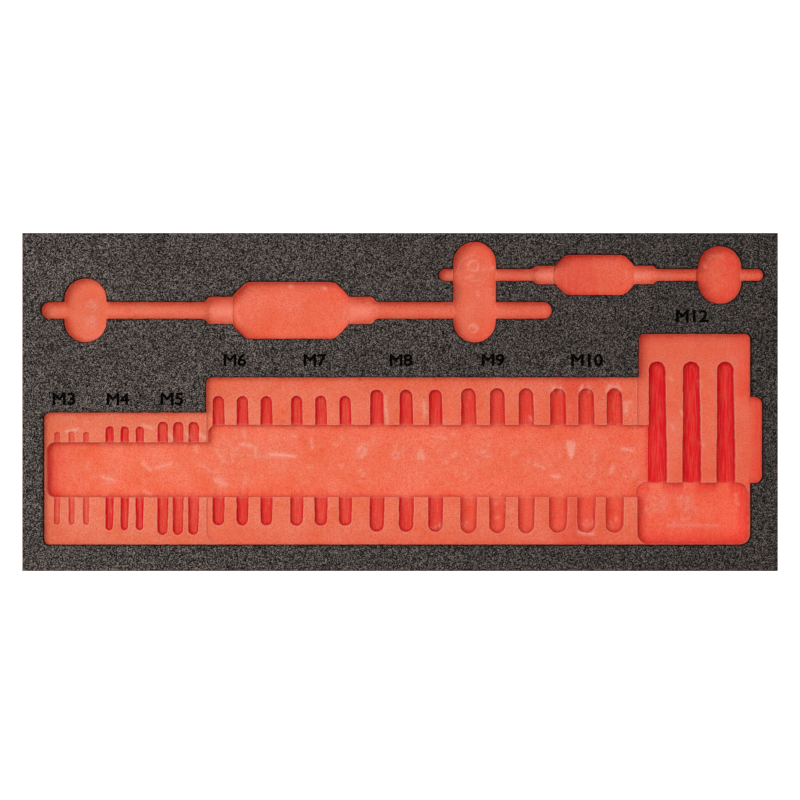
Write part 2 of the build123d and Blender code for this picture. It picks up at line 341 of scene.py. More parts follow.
@dataclass
class Outline:
    """Closed loops in the plan. A point is inside where it is inside an odd number of them."""

    loops: list[np.ndarray]

    def rings(self, offset: float) -> list[np.ndarray]:
        """Gives the loops moved outwards by an offset."""
        return [loop + normals(loop) * offset for loop in self.loops]

    def distance(self, points: np.ndarray, reach: float = 2.5) -> np.ndarray:
        """Measures how far each point is from the outline, below zero inside.

        Args:
            points: the points, one row each.
            reach: a point further than this outside the outline's box is only called far.

        Returns:
            One signed distance for each point.
        """
        result = np.full(len(points), FAR)
        start = np.concatenate(self.loops)
        end = np.concatenate([np.roll(loop, -1, axis=0) for loop in self.loops])
        low, high = start.min(axis=0) - reach, start.max(axis=0) + reach
        near = np.flatnonzero(((points > low) & (points < high)).all(axis=1))
        main = int(high[1] - low[1] > high[0] - low[0])
        near = near[np.argsort(points[near, main])]
        where = points[near, main]
        ahead = np.maximum(start[:, main], end[:, main]) + reach
        behind = np.minimum(start[:, main], end[:, main]) - reach
        for strip in np.arange(low[main], high[main], STRIP):
            first, last = np.searchsorted(where, (strip, strip + STRIP))
            chosen = near[first:last]
            local = (ahead > strip) & (behind < strip + STRIP)
            if len(chosen) and local.any():
                result[chosen] = self.near_distance(points[chosen], start[local], end[local], main)
        return result

    @staticmethod
    def near_distance(points: np.ndarray, start: np.ndarray, end: np.ndarray, main: int) -> np.ndarray:
        """Measures signed distances to a few segments, which include all that a ray across the strip meets.

        Args:
            points: the points.
            start: the segments' first ends.
            end: the segments' other ends.
            main: 0 where the strips follow X, 1 where they follow Y.

        Returns:
            One signed distance for each point.
        """
        along = end - start
        squared = np.maximum((along ** 2).sum(axis=1), TINY)
        gap = points[:, None, :] - start[None]
        share = np.clip((gap * along).sum(axis=2) / squared, 0, 1)
        nearest = ((gap - share[:, :, None] * along) ** 2).sum(axis=2).min(axis=1)
        side = 1 - main
        run = np.where(along[:, main] == 0, TINY, along[:, main])
        place = points[:, main][:, None]
        crosses = (start[:, main] > place) != (end[:, main] > place)
        crossing = start[:, side] + (place - start[:, main]) * along[:, side] / run
        inside = (crosses & (points[:, side][:, None] < crossing)).sum(axis=1) % 2 == 1
        return np.sqrt(nearest) * np.where(inside, -1, 1)


# ---------------------------------------------------------------------------------------------------------- pockets
@dataclass
class Pocket(ABC):
    """A milled pocket: its outline in the plan, and the height of its floor."""

    name: str
    outline: Outline
    painted_floor_shade: float = 0.0         # painted shade over the whole floor, as a deeper red

    @abstractmethod
    def floor(self, points: np.ndarray, distance: np.ndarray) -> np.ndarray:
        """Gives the floor's height at points inside the outline."""

    @abstractmethod
    def mouth(self) -> float:
        """Gives the height at which the pocket's upright wall ends."""

    @abstractmethod
    def closed(self, points: np.ndarray, distance: np.ndarray, walled: np.ndarray) -> np.ndarray:
        """Gives the share of painted shade, a deeper red, at points inside, from 0 to 1.

        Args:
            points: the points.
            distance: how far each is from the outline, below zero.
            walled: 1 where the outline is a wall there, 0 where it opens into another pocket.

        Returns:
            One share for each point.
        """

    def dust(self, points: np.ndarray) -> np.ndarray:
        """Gives the share of painted light, a paler colour, at points inside, from 0 to 1."""
        return np.zeros(len(points))

    def guides(self) -> list[np.ndarray]:
        """Gives open lines across the floor that its shape needs points on."""
        return []


@dataclass
class FlatPocket(Pocket):
    """A pocket with a level floor, whose edge may be rounded up into the wall."""

    height: float = 0.0
    floor_round: float = 0.5
    # painted shade along the wall, as a deeper red, and how far it reaches
    wall_shade: float = 0.3
    wall_shade_reach: float = 1.4
    end_shade_x: float = FAR          # X of one end of the pocket, near which more shade is painted, as its end wall shades the floor
    end_shade_reach: float = 11.0
    end_shade: float = 0.34

    def floor(self, points: np.ndarray, distance: np.ndarray) -> np.ndarray:
        """Gives the level floor, curved up along the wall."""
        reach = np.clip(self.floor_round + distance, 0, self.floor_round)
        return self.height + self.floor_round - np.sqrt(np.maximum(self.floor_round ** 2 - reach ** 2, 0))

    def mouth(self) -> float:
        """Gives the floor's own height."""
        return self.height

    def closed(self, points: np.ndarray, distance: np.ndarray, walled: np.ndarray) -> np.ndarray:
        """Gives painted shade along the wall, and more near one end of the pocket, where its end wall shades the
        floor.
        """
        run = self.end_shade * np.exp(-((points[:, 0] - self.end_shade_x) / self.end_shade_reach) ** 2)
        wall = self.wall_shade * np.exp(-(distance / self.wall_shade_reach) ** 2)
        return self.painted_floor_shade + run + walled * wall

    def guides(self) -> list[np.ndarray]:
        """Gives rings along the rounded floor edge."""
        shares = (0.04, 0.16, 0.35, 0.62, 1.0) if self.floor_round >= 1 else (1.0,)
        return [np.vstack([ring, ring[:1]]) for share in shares
                for ring in self.outline.rings(-share * self.floor_round)]


@dataclass
class TurnedPocket(Pocket):
    """A trough for a round tool: below its axis it is round, and its walls are upright from there up."""

    origin: tuple[float, float] = (0.0, 0.0)
    direction: tuple[float, float] = (1.0, 0.0)
    axis_height: float = 0.0
    profile: np.ndarray | None = None   # (distance along the axis, radius) rows
    spans: tuple[tuple[float, float], ...] = ()
    ridge_height: float = 0.0
    ridge_pitch: float = 1.3
    ridge_shade: float = 1.4          # painted shade in the chatter grooves: how much less a crest gets and more a groove, per millimetre of height
    # painted shade up the sides, and how far it reaches from the wall
    side_closing: float = 0.25
    side_shade_reach: float = 1.0
    first_share: float = 1.0            # how much of the painted shade is left in the first stretch
    # painted light along the trough's bottom, where light reaches
    dustiness: float = 0.0
    bottom_light_width: float = 0.5             # half the painted light's width, as a share of the radius

    @classmethod
    def laid(cls, name: str, origin: tuple[float, float], direction: tuple[float, float],
             axis_height: float, spans: list[tuple[float, float]], profile: np.ndarray, loop: np.ndarray,
             painted_floor_shade: float, **others: float) -> "TurnedPocket":
        """Lays a turned tool down in its outline.

        Args:
            name: the pocket's name.
            origin: the tool's first end.
            direction: unit vector along the tool.
            axis_height: height of the tool's axis.
            spans: (length, radius) of each stretch of the tool.
            profile: (distance, radius) rows along the tool.
            loop: the outline before the cutter wanders.
            painted_floor_shade: the share of shade painted over the floor, from 0 to 1.
            others: ridge_height, side_closing, first_share and dustiness where they aren't the usual ones.

        Returns:
            The pocket.
        """
        return cls(name, Outline([wandering(loop, origin[0] + origin[1])]), painted_floor_shade, origin, direction,
                   axis_height, profile, tuple(spans), **others)

    @staticmethod
    def loop_of(profile: np.ndarray, origin: tuple[float, float],
                direction: tuple[float, float]) -> np.ndarray:
        """Draws the outline that a turned tool's profile makes on both sides of its axis."""
        across = np.array([-direction[1], direction[0]])
        line = np.array(origin) + profile[:, :1] * np.array(direction)
        right, left = line - profile[:, 1:] * across, line + profile[:, 1:] * across
        return np.vstack([right, left[-2:0:-1]])

    @staticmethod
    def turned_profile(spans: list[tuple[float, float]], shoulder: float) -> np.ndarray:
        """Lists (distance, radius) along a turned tool with a ball nose at each end."""
        quarter = np.linspace(0, math.pi / 2, NOSE_POINTS)
        first, last = spans[0][1], spans[-1][1]
        total = sum(length for length, _ in spans)
        rows = [(first - first * math.cos(a), first * math.sin(a)) for a in quarter]
        x = 0.0
        for (length, radius), (_, following) in zip(spans, spans[1:]):
            x += length
            if shoulder:
                start = x if following > radius else x - shoulder
                rows += [(start + t, radius + (following - radius) * rise)
                         for t, rise in double_arc(shoulder, abs(following - radius))]
            else:
                rows += [(x - HAIR, radius), (x + HAIR, following)]
        rows += [(total - last + last * math.cos(a), last * math.sin(a)) for a in quarter[::-1]]
        return np.array(rows)

    def floor(self, points: np.ndarray, distance: np.ndarray) -> np.ndarray:
        """Gives the round floor under the axis."""
        along, across, radius = self.placed(points)
        return self.axis_height + self.ridges(along) - np.sqrt(np.maximum(radius ** 2 - across ** 2, 0))

    def ridges(self, along: np.ndarray) -> np.ndarray:
        """Gives the height of the chatter marks, which start behind the first stretch."""
        return np.where(along > self.spans[0][0],
                        self.ridge_height * np.sin(2 * math.pi * along / self.ridge_pitch), 0)

    def mouth(self) -> float:
        """Gives the axis height."""
        return self.axis_height

    def closed(self, points: np.ndarray, distance: np.ndarray, walled: np.ndarray) -> np.ndarray:
        """Gives painted shade, more up the sides than along the bottom, and in the chatter grooves."""
        along, _, _ = self.placed(points)
        share = np.where(along < self.spans[0][0], self.first_share, 1)
        sides = self.side_closing * walled * np.exp(-(distance / self.side_shade_reach) ** 2)
        return share * self.painted_floor_shade + sides - self.ridge_shade * self.ridges(along)

    def dust(self, points: np.ndarray) -> np.ndarray:
        """Gives painted light, paler along the bottom of the tool's thickest stretch, where light reaches."""
        _, across, radius = self.placed(points)
        thickest = self.profile[:, 1].max()
        spread = np.exp(-(across / (self.bottom_light_width * radius)) ** 2)
        return self.dustiness * (radius / thickest) ** 3 * spread

    def placed(self, points: np.ndarray) -> tuple[np.ndarray, np.ndarray, np.ndarray]:
        """Gives each point's distance along the axis and across it, and the tool's radius there."""
        from_origin = points - np.array(self.origin)
        along = from_origin @ np.array(self.direction)
        across = from_origin @ np.array([-self.direction[1], self.direction[0]])
        return along, across, np.maximum(np.interp(along, self.profile[:, 0], self.profile[:, 1]), HAIR)

    def guides(self) -> list[np.ndarray]:
        """Gives lines along the round floor, which turn round the ball noses."""
        ahead = np.array(self.direction)
        across = np.array([-ahead[1], ahead[0]])
        origin = np.array(self.origin)
        lines = []
        total = sum(length for length, _ in self.spans)
        start = 0.0
        for number, (length, radius) in enumerate(self.spans):
            is_first, is_last = number == 0, number == len(self.spans) - 1
            for share in GUIDE_SHARES:
                inner = share * radius
                near = start + (radius if is_first else GUIDE_GAP)
                far = start + length - (radius if is_last else GUIDE_GAP)
                step = RIDGED_STEP if self.ridge_height else GUIDE_STEP
                stations = np.linspace(near, far, max(2, round((far - near) / step)))
                right = origin + stations[:, None] * ahead - inner * across
                left = origin + stations[:, None] * ahead + inner * across
                arc = np.linspace(-math.pi / 2, math.pi / 2, NOSE_POINTS)[:, None]
                if is_first:
                    nose = origin + (radius - inner * np.cos(arc)) * ahead + inner * np.sin(arc) * across
                    lines.append(np.vstack([right[::-1], nose, left]))
                elif is_last:
                    end = total - radius + inner * np.cos(arc)
                    nose = origin + end * ahead + inner * np.sin(arc) * across
                    lines.append(np.vstack([right, nose, left[::-1]]))
                else:
                    lines += [right, left]
            start += length
        middle = np.linspace(self.spans[0][1], total - self.spans[-1][1],
                             max(2, round(total / GUIDE_STEP)))
        lines.append(origin + middle[:, None] * ahead)
        return lines


# ------------------------------------------------------------------------------------------------- what is laid in
@dataclass(frozen=True)
class TapRow:
    """Three slots for hand taps of one size, threads to the front."""

    mark: str
    gap: float
    pitch: float
    length: float
    thread_width: float
    shank_width: float
    mark_x: float
    closing: float                  # shade painted in these slots, as a deeper red
    thread_shade_share: float = 1.0       # how much of that is left in their thread halves
    taps: int = 3


@dataclass(frozen=True)
class Wrench:
    """A tap wrench along X: a bar and a collar on each side of a flat body with bevelled ends."""

    name: str
    left: float
    axis_y: float
    axis_depth: float
    bar_width: float
    collar_width: float
    collar_length: float
    body_width: float
    body_length: float
    body_depth: float
    left_bar: float
    right_bar: float
    shoulder: float

    @property
    def body_middle(self) -> float:
        """Gives the X of the body's middle."""
        return self.left + self.left_bar + self.collar_length + self.body_length / 2


@dataclass(frozen=True)
class FingerPocket:
    """An upright oblong pocket that lets fingers in beside a wrench."""

    name: str
    x: float
    y: float
    length: float
    width: float
    depth: float
    # how far the painted shade reaches from the wall
    wall_shade_reach: float = 1.4


@dataclass(frozen=True)
class Milling:
    """How the edge of a level pocket was milled, and the shade painted along its wall."""

    floor_round: float = 0.5            # radius between its floor and its wall
    wall_shade_reach: float = 1.4          # how far from the wall the painted shade reaches
    wall_shade: float | None = None   # how strong the painted shade is at the wall, where the depth doesn't tell


@dataclass(frozen=True)
class Swirl:
    """A ring, or an arc of one, that the cutter's tip left where it plunged or turned."""

    x: float
    y: float
    radius: float
    strength: float
    facing: float = 0.0             # direction of the arc's middle in degrees
    sweep: float = 420.0            # its length in degrees, over 360 so that a ring has no faded gap
    fade: float = 30.0              # over how many degrees it fades at each end
    groove: float = 0.55            # half the width of the tip's mark
    unevenness: float = 0.3

    def at(self, points: np.ndarray) -> np.ndarray:
        """Gives the ring's share from 0 to 1 at each point."""
        from_middle = points - np.array([self.x, self.y])
        radius = np.hypot(from_middle[:, 0], from_middle[:, 1])
        angle = np.degrees(np.arctan2(from_middle[:, 1], from_middle[:, 0]))
        turned = np.abs((angle - self.facing + 180) % 360 - 180)
        fade = np.clip((self.sweep / 2 - turned) / self.fade, 0, 1)
        uneven = 1 - self.unevenness + self.unevenness * np.sin(np.radians(2 * angle) + self.x)
        return self.strength * fade * uneven * np.exp(-((radius - self.radius) / self.groove) ** 2)


@dataclass
class InlayPlan:
    """The inlay's sizes, which are the frame's, and the pockets that they make."""

    core_thickness: float = 25.0
    face_thickness: float = 5.0
    length: float = 420.0
    width: float = 188.0
    recess_front: float = -79.4
    small_left: float = -198.2
    middle_left: float = -108.0
    large_left: float = 132.7
    large_right: float = 195.0
    recess_overlap: float = 12.0        # how far a recess reaches into the next one, so that they are one
    recess_corner: float = 3.2
    front_corner: float = 7.0
    small_recess_width: float = 73.5
    middle_recess_width: float = 93.1
    large_recess_width: float = 117.3
    small_recess_depth: float = 3.0
    middle_recess_depth: float = 5.0
    large_recess_depth: float = 7.0
    bay_length: float = 6.6
    bay_width: float = 48.0
    bay_corner: float = 4.2
    channel_left: float = -197.5
    channel_step: float = -107.3
    channel_right: float = 139.2
    channel_front: float = -53.2
    channel_narrow: float = 30.7
    channel_wide: float = 40.4
    channel_depth: float = 15.0
    channel_corner: float = 4.6
    end_pocket_width: float = 34.3
    end_pocket_depth: float = 17.4
    end_pocket_corner: float = 6.0
    body_corner: float = 6.0
    finger_round: float = 2.5
    curve_step: float = 1.5             # the most between two points round a wrench body or a finger pocket
    slot_flare: float = 0.6
    flare_reach: float = 14.0
    flare_step: float = 4.0
    chattered_slot: str = "M10_slot_3"
    chatter_height: float = 0.16
    # painted shade up the sides of the slots and of the wrench troughs
    slot_side_closing: float = 0.5
    bar_side_closing: float = 0.2
    # painted light along the wrench troughs' bottoms
    bar_bottom_light: float = 0.35
    most_wall_shade: float = 0.45          # the most shade painted along a wall, as far as its depth tells
    full_shade_depth: float = 35.0         # depth at which a wall's painted shade would be full
    large_recess_milling: Milling = Milling(wall_shade_reach=8.0, wall_shade=0.24)
    bay_milling: Milling = Milling(wall_shade_reach=5.0, wall_shade=0.42)
    end_pocket_milling: Milling = Milling(floor_round=1.2, wall_shade_reach=6.0, wall_shade=0.55)
    body_milling: Milling = Milling(floor_round=1.0)

    small_taps: tuple[TapRow, ...] = (
        TapRow("M3", 5.0, 8.1, 52.0, 3.0, 2.7, -186.7, 0.33),
        TapRow("M4", 9.6, 8.4, 58.0, 4.0, 4.0, -156.7, 0.73),
        TapRow("M5", 8.1, 8.6, 63.2, 5.6, 5.2, -126.7, 0.6),
    )
    middle_taps: tuple[TapRow, ...] = (
        TapRow("M6", 3.2, 13.4, 72.4, 6.2, 6.1, -91.7, 0.7),
        TapRow("M7", 10.4, 13.6, 72.8, 6.8, 6.0, -47.2, 0.68, 0.9),
        TapRow("M8", 10.4, 16.4, 79.6, 7.8, 7.1, 0.6, 0.7, 0.85),
        TapRow("M9", 10.2, 16.1, 81.2, 8.8, 8.0, 51.7, 0.58, 0.5),
        TapRow("M10", 8.5, 15.8, 80.8, 9.8, 8.5, 103.9, 0.56, 0.5),
    )
    large_taps: tuple[TapRow, ...] = (
        TapRow("M12", 6.2, 19.1, 87.0, 10.0, 9.4, 162.2, 0.9),
    )
    wrenches: tuple[Wrench, ...] = (
        Wrench("large_wrench", -199.7, 51.0, 5.0, 9.4, 15.3, 16.4, 31.7, 65.7, 13.4, 89.5, 96.2, 5.0),
        Wrench("small_wrench", 21.6, 70.7, 3.8, 6.7, 10.5, 13.2, 22.5, 44.7, 10.4, 51.3, 58.3, 4.0),
    )
    fingers: tuple[FingerPocket, ...] = (
        FingerPocket("left_finger", -175.0, 51.0, 35.6, 23.9, 10.0),
        FingerPocket("shared_finger", 41.5, 61.15, 56.1, 23.9, 10.0),
        FingerPocket("right_finger", 177.9, 70.7, 32.3, 24.6, 11.6, 7.0),
    )
    swirls: tuple[Swirl, ...] = (
        Swirl(41.1, 76.3, 2.9, 1.0), Swirl(41.3, 41.2, 2.3, 0.8), Swirl(41.1, 73.5, 8.6, 0.35),
        Swirl(-173.0, 53.4, 3.0, 0.5), Swirl(-173.0, 44.4, 2.6, 0.5), Swirl(177.5, 74.5, 7.0, 0.7, 90, 110),
        Swirl(-21.2, -28.0, 2.6, 0.6), Swirl(-2.2, -30.5, 2.2, 0.35),
        Swirl(-101.8, 50.6, 6.0, 0.6, 180, 130), Swirl(-83.5, 50.4, 8.0, 0.8, 180, 120),
        Swirl(-35.8, 50.8, 8.0, 0.6, 0, 120), Swirl(-18.0, 50.8, 5.0, 0.6, 0, 120),
        Swirl(78.6, 70.9, 3.6, 0.45, 180, 120), Swirl(92.4, 70.7, 5.4, 0.65, 180, 110),
        Swirl(121.2, 70.9, 5.4, 0.6, 0, 110), Swirl(139.0, 70.8, 3.6, 0.45, 0, 120),
    )

    @property
    def top(self) -> float:
        """Gives the height of the face sheet's top."""
        return self.core_thickness + self.face_thickness

    def pockets(self) -> list[Pocket]:
        """Makes every pocket of the inlay.

        Returns:
            The pockets, in no special order: the deepest one wins at each point.
        """
        return [*self.recess_pockets(), *self.trough_pockets(), *self.slot_pockets(), *self.wrench_pockets(),
                *self.finger_pockets()]

    def flat(self, name: str, loop: np.ndarray, depth: float, milling: Milling = Milling()) -> FlatPocket:
        """Makes a level pocket whose outline wanders a little.

        Args:
            name: the pocket's name.
            loop: its outline before the cutter wanders.
            depth: how deep it goes into the core.
            milling: how its edge was milled.

        Returns:
            The pocket.
        """
        seed = float(sum(map(ord, name)) % 97)
        # painted shade along the wall, more along a deeper wall
        wall_shade = milling.wall_shade or min(self.most_wall_shade, depth / self.full_shade_depth)
        return FlatPocket(name, Outline([wandering(loop, seed)]), 0.0, self.core_thickness - depth,
                          milling.floor_round, wall_shade, milling.wall_shade_reach)

    def recess_pockets(self) -> list[Pocket]:
        """Makes the three stepped recesses and the bay beside the largest taps."""
        r, front, overlap = self.recess_corner, self.recess_front, self.recess_overlap
        return [
            self.flat("small_recess", rectangle(
                self.small_left, front, self.middle_left + self.front_corner, front + self.small_recess_width,
                [r, 0, 0, r]), self.small_recess_depth),
            self.flat("middle_recess", rectangle(
                self.middle_left, front, self.large_left + overlap, front + self.middle_recess_width,
                [self.front_corner, 0, 0, r]), self.middle_recess_depth),
            self.flat("large_recess", rectangle(
                self.large_left, front, self.large_right, front + self.large_recess_width,
                [self.end_pocket_corner, self.end_pocket_corner, r, r]), self.large_recess_depth,
                self.large_recess_milling),
            self.flat("side_bay", rectangle(
                self.large_right - overlap, front + self.end_pocket_width, self.large_right + self.bay_length,
                front + self.end_pocket_width + self.bay_width, [0, self.bay_corner, self.bay_corner, 0]),
                self.large_recess_depth, self.bay_milling),
        ]

    def trough_pockets(self) -> list[Pocket]:
        """Makes the channel under the small and middle taps, and the end pocket."""
        front, r = self.channel_front, self.channel_corner
        narrow_back, wide_back = front + self.channel_narrow, front + self.channel_wide
        channel = rounded_polygon(
            [(self.channel_left, front), (self.channel_right, front), (self.channel_right, wide_back),
             (self.channel_step, wide_back), (self.channel_step, narrow_back), (self.channel_left, narrow_back)],
            [r, 0, 0, r, 0, r])
        c = self.end_pocket_corner
        end = rectangle(self.large_left, self.recess_front, self.large_right,
                        self.recess_front + self.end_pocket_width, [c, c, c, c])
        return [replace(self.flat("channel", channel, self.channel_depth), end_shade_x=self.channel_left),
                self.flat("end_pocket", end, self.end_pocket_depth, self.end_pocket_milling)]

    def slot_pockets(self) -> list[Pocket]:
        """Makes the tap slots, row by row from each recess's left wall."""
        pockets: list[Pocket] = []
        for rows, left, width, depth in (
                (self.small_taps, self.small_left, self.small_recess_width, self.small_recess_depth),
                (self.middle_taps, self.middle_left, self.middle_recess_width, self.middle_recess_depth),
                (self.large_taps, self.large_left, self.large_recess_width, self.large_recess_depth)):
            x = left
            for row in rows:
                x += row.gap + row.thread_width / 2
                front = self.recess_front + (width - row.length) / 2
                axis_height = self.core_thickness - depth - row.thread_width / 2
                spans = [(row.length / 2, row.thread_width / 2), (row.length / 2, row.shank_width / 2)]
                profile = TurnedPocket.turned_profile(spans, 0.0)
                loop = self.flared(TurnedPocket.loop_of(profile, (x, front), (0.0, 1.0)), x)
                loops = repeated(loop, row.taps, row.pitch)
                for number, loop in enumerate(loops):
                    name = f"{row.mark}_slot_{number + 1}"
                    pockets.append(TurnedPocket.laid(
                        name, (x, front), (0.0, 1.0), axis_height, spans, profile, loop,
                        row.closing, side_closing=self.slot_side_closing, first_share=row.thread_shade_share,
                        ridge_height=self.chatter_height if name == self.chattered_slot else 0.0))
                    x += row.pitch
                x += row.thread_width / 2 - row.pitch
        return pockets

    def flared(self, loop: np.ndarray, x: float) -> np.ndarray:
        """Widens a slot to the right near the channel, where the cutter pushed the soft land aside."""
        loop = divided(loop, self.flare_step)
        half = self.channel_wide / 2
        away = np.maximum(np.abs(loop[:, 1] - self.channel_front - half) - half, 0)
        flare = self.slot_flare * np.exp(-(away / self.flare_reach) ** 2)
        loop[:, 0] += np.where(loop[:, 0] > x, flare, 0)
        return loop

    def wrench_pockets(self) -> list[Pocket]:
        """Makes each wrench's trough and the pocket of its body."""
        pockets: list[Pocket] = []
        for tool in self.wrenches:
            spans = [(tool.left_bar, tool.bar_width / 2),
                     (2 * tool.collar_length + tool.body_length, tool.collar_width / 2),
                     (tool.right_bar, tool.bar_width / 2)]
            profile = TurnedPocket.turned_profile(spans, tool.shoulder)
            loop = TurnedPocket.loop_of(profile, (tool.left, tool.axis_y), (1.0, 0.0))
            pockets.append(TurnedPocket.laid(
                f"{tool.name}_bars", (tool.left, tool.axis_y), (1.0, 0.0),
                self.core_thickness - tool.axis_depth, spans, profile, loop, 0.0,
                side_closing=self.bar_side_closing, dustiness=self.bar_bottom_light))
            left, right = tool.body_middle - tool.body_length / 2, tool.body_middle + tool.body_length / 2
            front, back = tool.axis_y - tool.body_width / 2, tool.axis_y + tool.body_width / 2
            bevel = (tool.body_width - tool.collar_width) / 2
            body = rounded_polygon(
                [(left + bevel, front), (right - bevel, front), (right, front + bevel), (right, back - bevel),
                 (right - bevel, back), (left + bevel, back), (left, back - bevel), (left, front + bevel)],
                [self.body_corner] * 8, self.curve_step)
            pockets.append(self.flat(f"{tool.name}_body", body, tool.body_depth, self.body_milling))
        return pockets

    def finger_pockets(self) -> list[Pocket]:
        """Makes the finger pockets, with their floor edges well rounded."""
        pockets: list[Pocket] = []
        for tool in self.fingers:
            half, long_half = tool.width / 2, tool.length / 2
            loop = rectangle(tool.x - half, tool.y - long_half, tool.x + half, tool.y + long_half,
                             [half - HAIR] * 4, self.curve_step)
            milling = Milling(self.finger_round, tool.wall_shade_reach)
            pockets.append(self.flat(tool.name, loop, tool.depth, milling))
        return pockets


# -------------------------------------------------------------------------------------------------------- size marks
@dataclass(frozen=True)
class SizeMarks:
    """The thread sizes, engraved in the face sheet above the rows of slots."""

    cap_height: float = 6.9
    stroke_gain: float = 0.27       # the font's strokes grow by this on each side, which makes them bold
    digit_width: float = 5.1
    letter_width: float = 7.6
    depth: float = 0.9
    small_y: float = 1.7
    middle_y: float = 23.3
    large_y: float = 47.8

    def outline(self, plan: InlayPlan) -> Outline:
        """Gives the outline of all the marks together."""
        loops: list[np.ndarray] = []
        for rows, y in ((plan.small_taps, self.small_y), (plan.middle_taps, self.middle_y),
                        (plan.large_taps, self.large_y)):
            for row in rows:
                loops += self.word(row.mark, row.mark_x, y)
        return Outline(loops)

    def word(self, text: str, x: float, y: float) -> list[np.ndarray]:
        """Draws one mark around a point.

        Args:
            text: the thread size.
            x: the mark's middle.
            y: the mark's middle.

        Returns:
            The loops of its strokes.
        """
        curve = bpy.data.curves.new(text, "FONT")
        curve.body = text
        curve.resolution_u = 4
        curve.fill_mode = "NONE"
        obj = bpy.data.objects.new(text, curve)
        bpy.context.scene.collection.objects.link(obj)
        graph = bpy.context.evaluated_depsgraph_get()
        mesh = bpy.data.meshes.new_from_object(obj.evaluated_get(graph))
        points = np.array([v.co[:2] for v in mesh.vertices])
        loops = chained([tuple(e.vertices) for e in mesh.edges])
        bpy.data.objects.remove(obj)
        bpy.data.curves.remove(curve)
        bpy.data.meshes.remove(mesh)
        low, high = points.min(axis=0), points.max(axis=0)
        width = self.letter_width + self.digit_width * (len(text) - 1)
        scale = (np.array([width, self.cap_height]) - 2 * self.stroke_gain) / (high - low)
        placed = (points - (low + high) / 2) * scale + np.array([x, y])
        turned = turned_by_nesting([placed[loop] for loop in loops])
        return [loop + normals(loop) * self.stroke_gain for loop in turned]


def chained(edges: list[tuple[int, int]]) -> list[list[int]]:
    """Joins edges end to end into closed loops of point numbers."""
    beside: dict[int, list[int]] = {}
    for a, b in edges:
        beside.setdefault(a, []).append(b)
        beside.setdefault(b, []).append(a)
    loops, seen = [], set()
    for start in beside:
        if start in seen:
            continue
        loop, current = [], start
        while current is not None:
            loop.append(current)
            seen.add(current)
            current = next((n for n in beside[current] if n not in seen), None)
        loops.append(loop)
    return loops


def turned_by_nesting(loops: list[np.ndarray]) -> list[np.ndarray]:
    """Turns outer loops counter-clockwise and holes clockwise, so that all normals leave the strokes."""
    result = []
    for k, loop in enumerate(loops):
        others = Outline([other for n, other in enumerate(loops) if n != k])
        is_hole = len(loops) > 1 and others.distance(loop[:1])[0] < 0
        following = np.roll(loop, -1, axis=0)
        area = float((loop[:, 0] * following[:, 1] - loop[:, 1] * following[:, 0]).sum())
        result.append(loop if (area > 0) != is_hole else loop[::-1])
    return result


# -------------------------------------------------------------------------------------------------- plan triangles
class PlanMesh:
    """Points and lines of a plan, turned into triangles that keep every line."""

    def __init__(self) -> None:
        """Starts with no points."""
        self.points: list[np.ndarray] = []
        self.edges: list[tuple[int, int]] = []
        self.count = 0

    def add_line(self, line: np.ndarray, closed: bool) -> None:
        """Adds a line that the triangles have to follow."""
        first = self.count
        self.points.append(line)
        self.count += len(line)
        self.edges += [(k, k + 1) for k in range(first, self.count - 1)]
        if closed:
            self.edges.append((self.count - 1, first))

    def add_points(self, points: np.ndarray) -> None:
        """Adds free points."""
        self.points.append(points)
        self.count += len(points)

    def triangles(self) -> tuple[np.ndarray, np.ndarray]:
        """Triangulates the plan.

        Returns:
            The points and the triangles, all counter-clockwise.
        """
        flat = np.concatenate(self.points)
        result = delaunay_2d_cdt([Vector(p) for p in flat], self.edges, [], 0, MERGE, False)
        points = np.array([tuple(p) for p in result[0]])
        faces = np.array(result[2])
        a, b, c = points[faces[:, 0]], points[faces[:, 1]], points[faces[:, 2]]
        area = (b[:, 0] - a[:, 0]) * (c[:, 1] - a[:, 1]) - (b[:, 1] - a[:, 1]) * (c[:, 0] - a[:, 0])
        faces[area < 0] = faces[area < 0][:, ::-1]
        return points, faces[np.abs(area) > 1e-9]


def lattice(left: float, front: float, right: float, back: float, step: float, seed: int) -> np.ndarray:
    """Spreads points over a rectangle on a triangular lattice, each moved a little at random."""
    lines = []
    for k, y in enumerate(np.arange(front, back, step * math.sqrt(3) / 2)):
        x = np.arange(left + (k % 2) * step / 2, right, step)
        lines.append(np.stack([x, np.full(len(x), y)], axis=1))
    points = np.concatenate(lines)
    return points + np.random.default_rng(seed).uniform(-JITTER, JITTER, points.shape) * step


def rounded_drop(distance: np.ndarray, radius: float) -> np.ndarray:
    """Gives how far a rounded edge has dropped at a distance from it."""
    inside = np.clip(radius - distance, 0, radius)
    return radius - np.sqrt(radius ** 2 - inside ** 2)


def outer_edges(faces: np.ndarray) -> np.ndarray:
    """Finds the directed edges that belong to one triangle only."""
    edges = np.concatenate([faces[:, [0, 1]], faces[:, [1, 2]], faces[:, [2, 0]]])
    low, high = edges.min(axis=1), edges.max(axis=1)
    key = low.astype(np.int64) * (int(faces.max()) + 1) + high
    _, first, times = np.unique(key, return_index=True, return_counts=True)
    return edges[first[times == 1]]


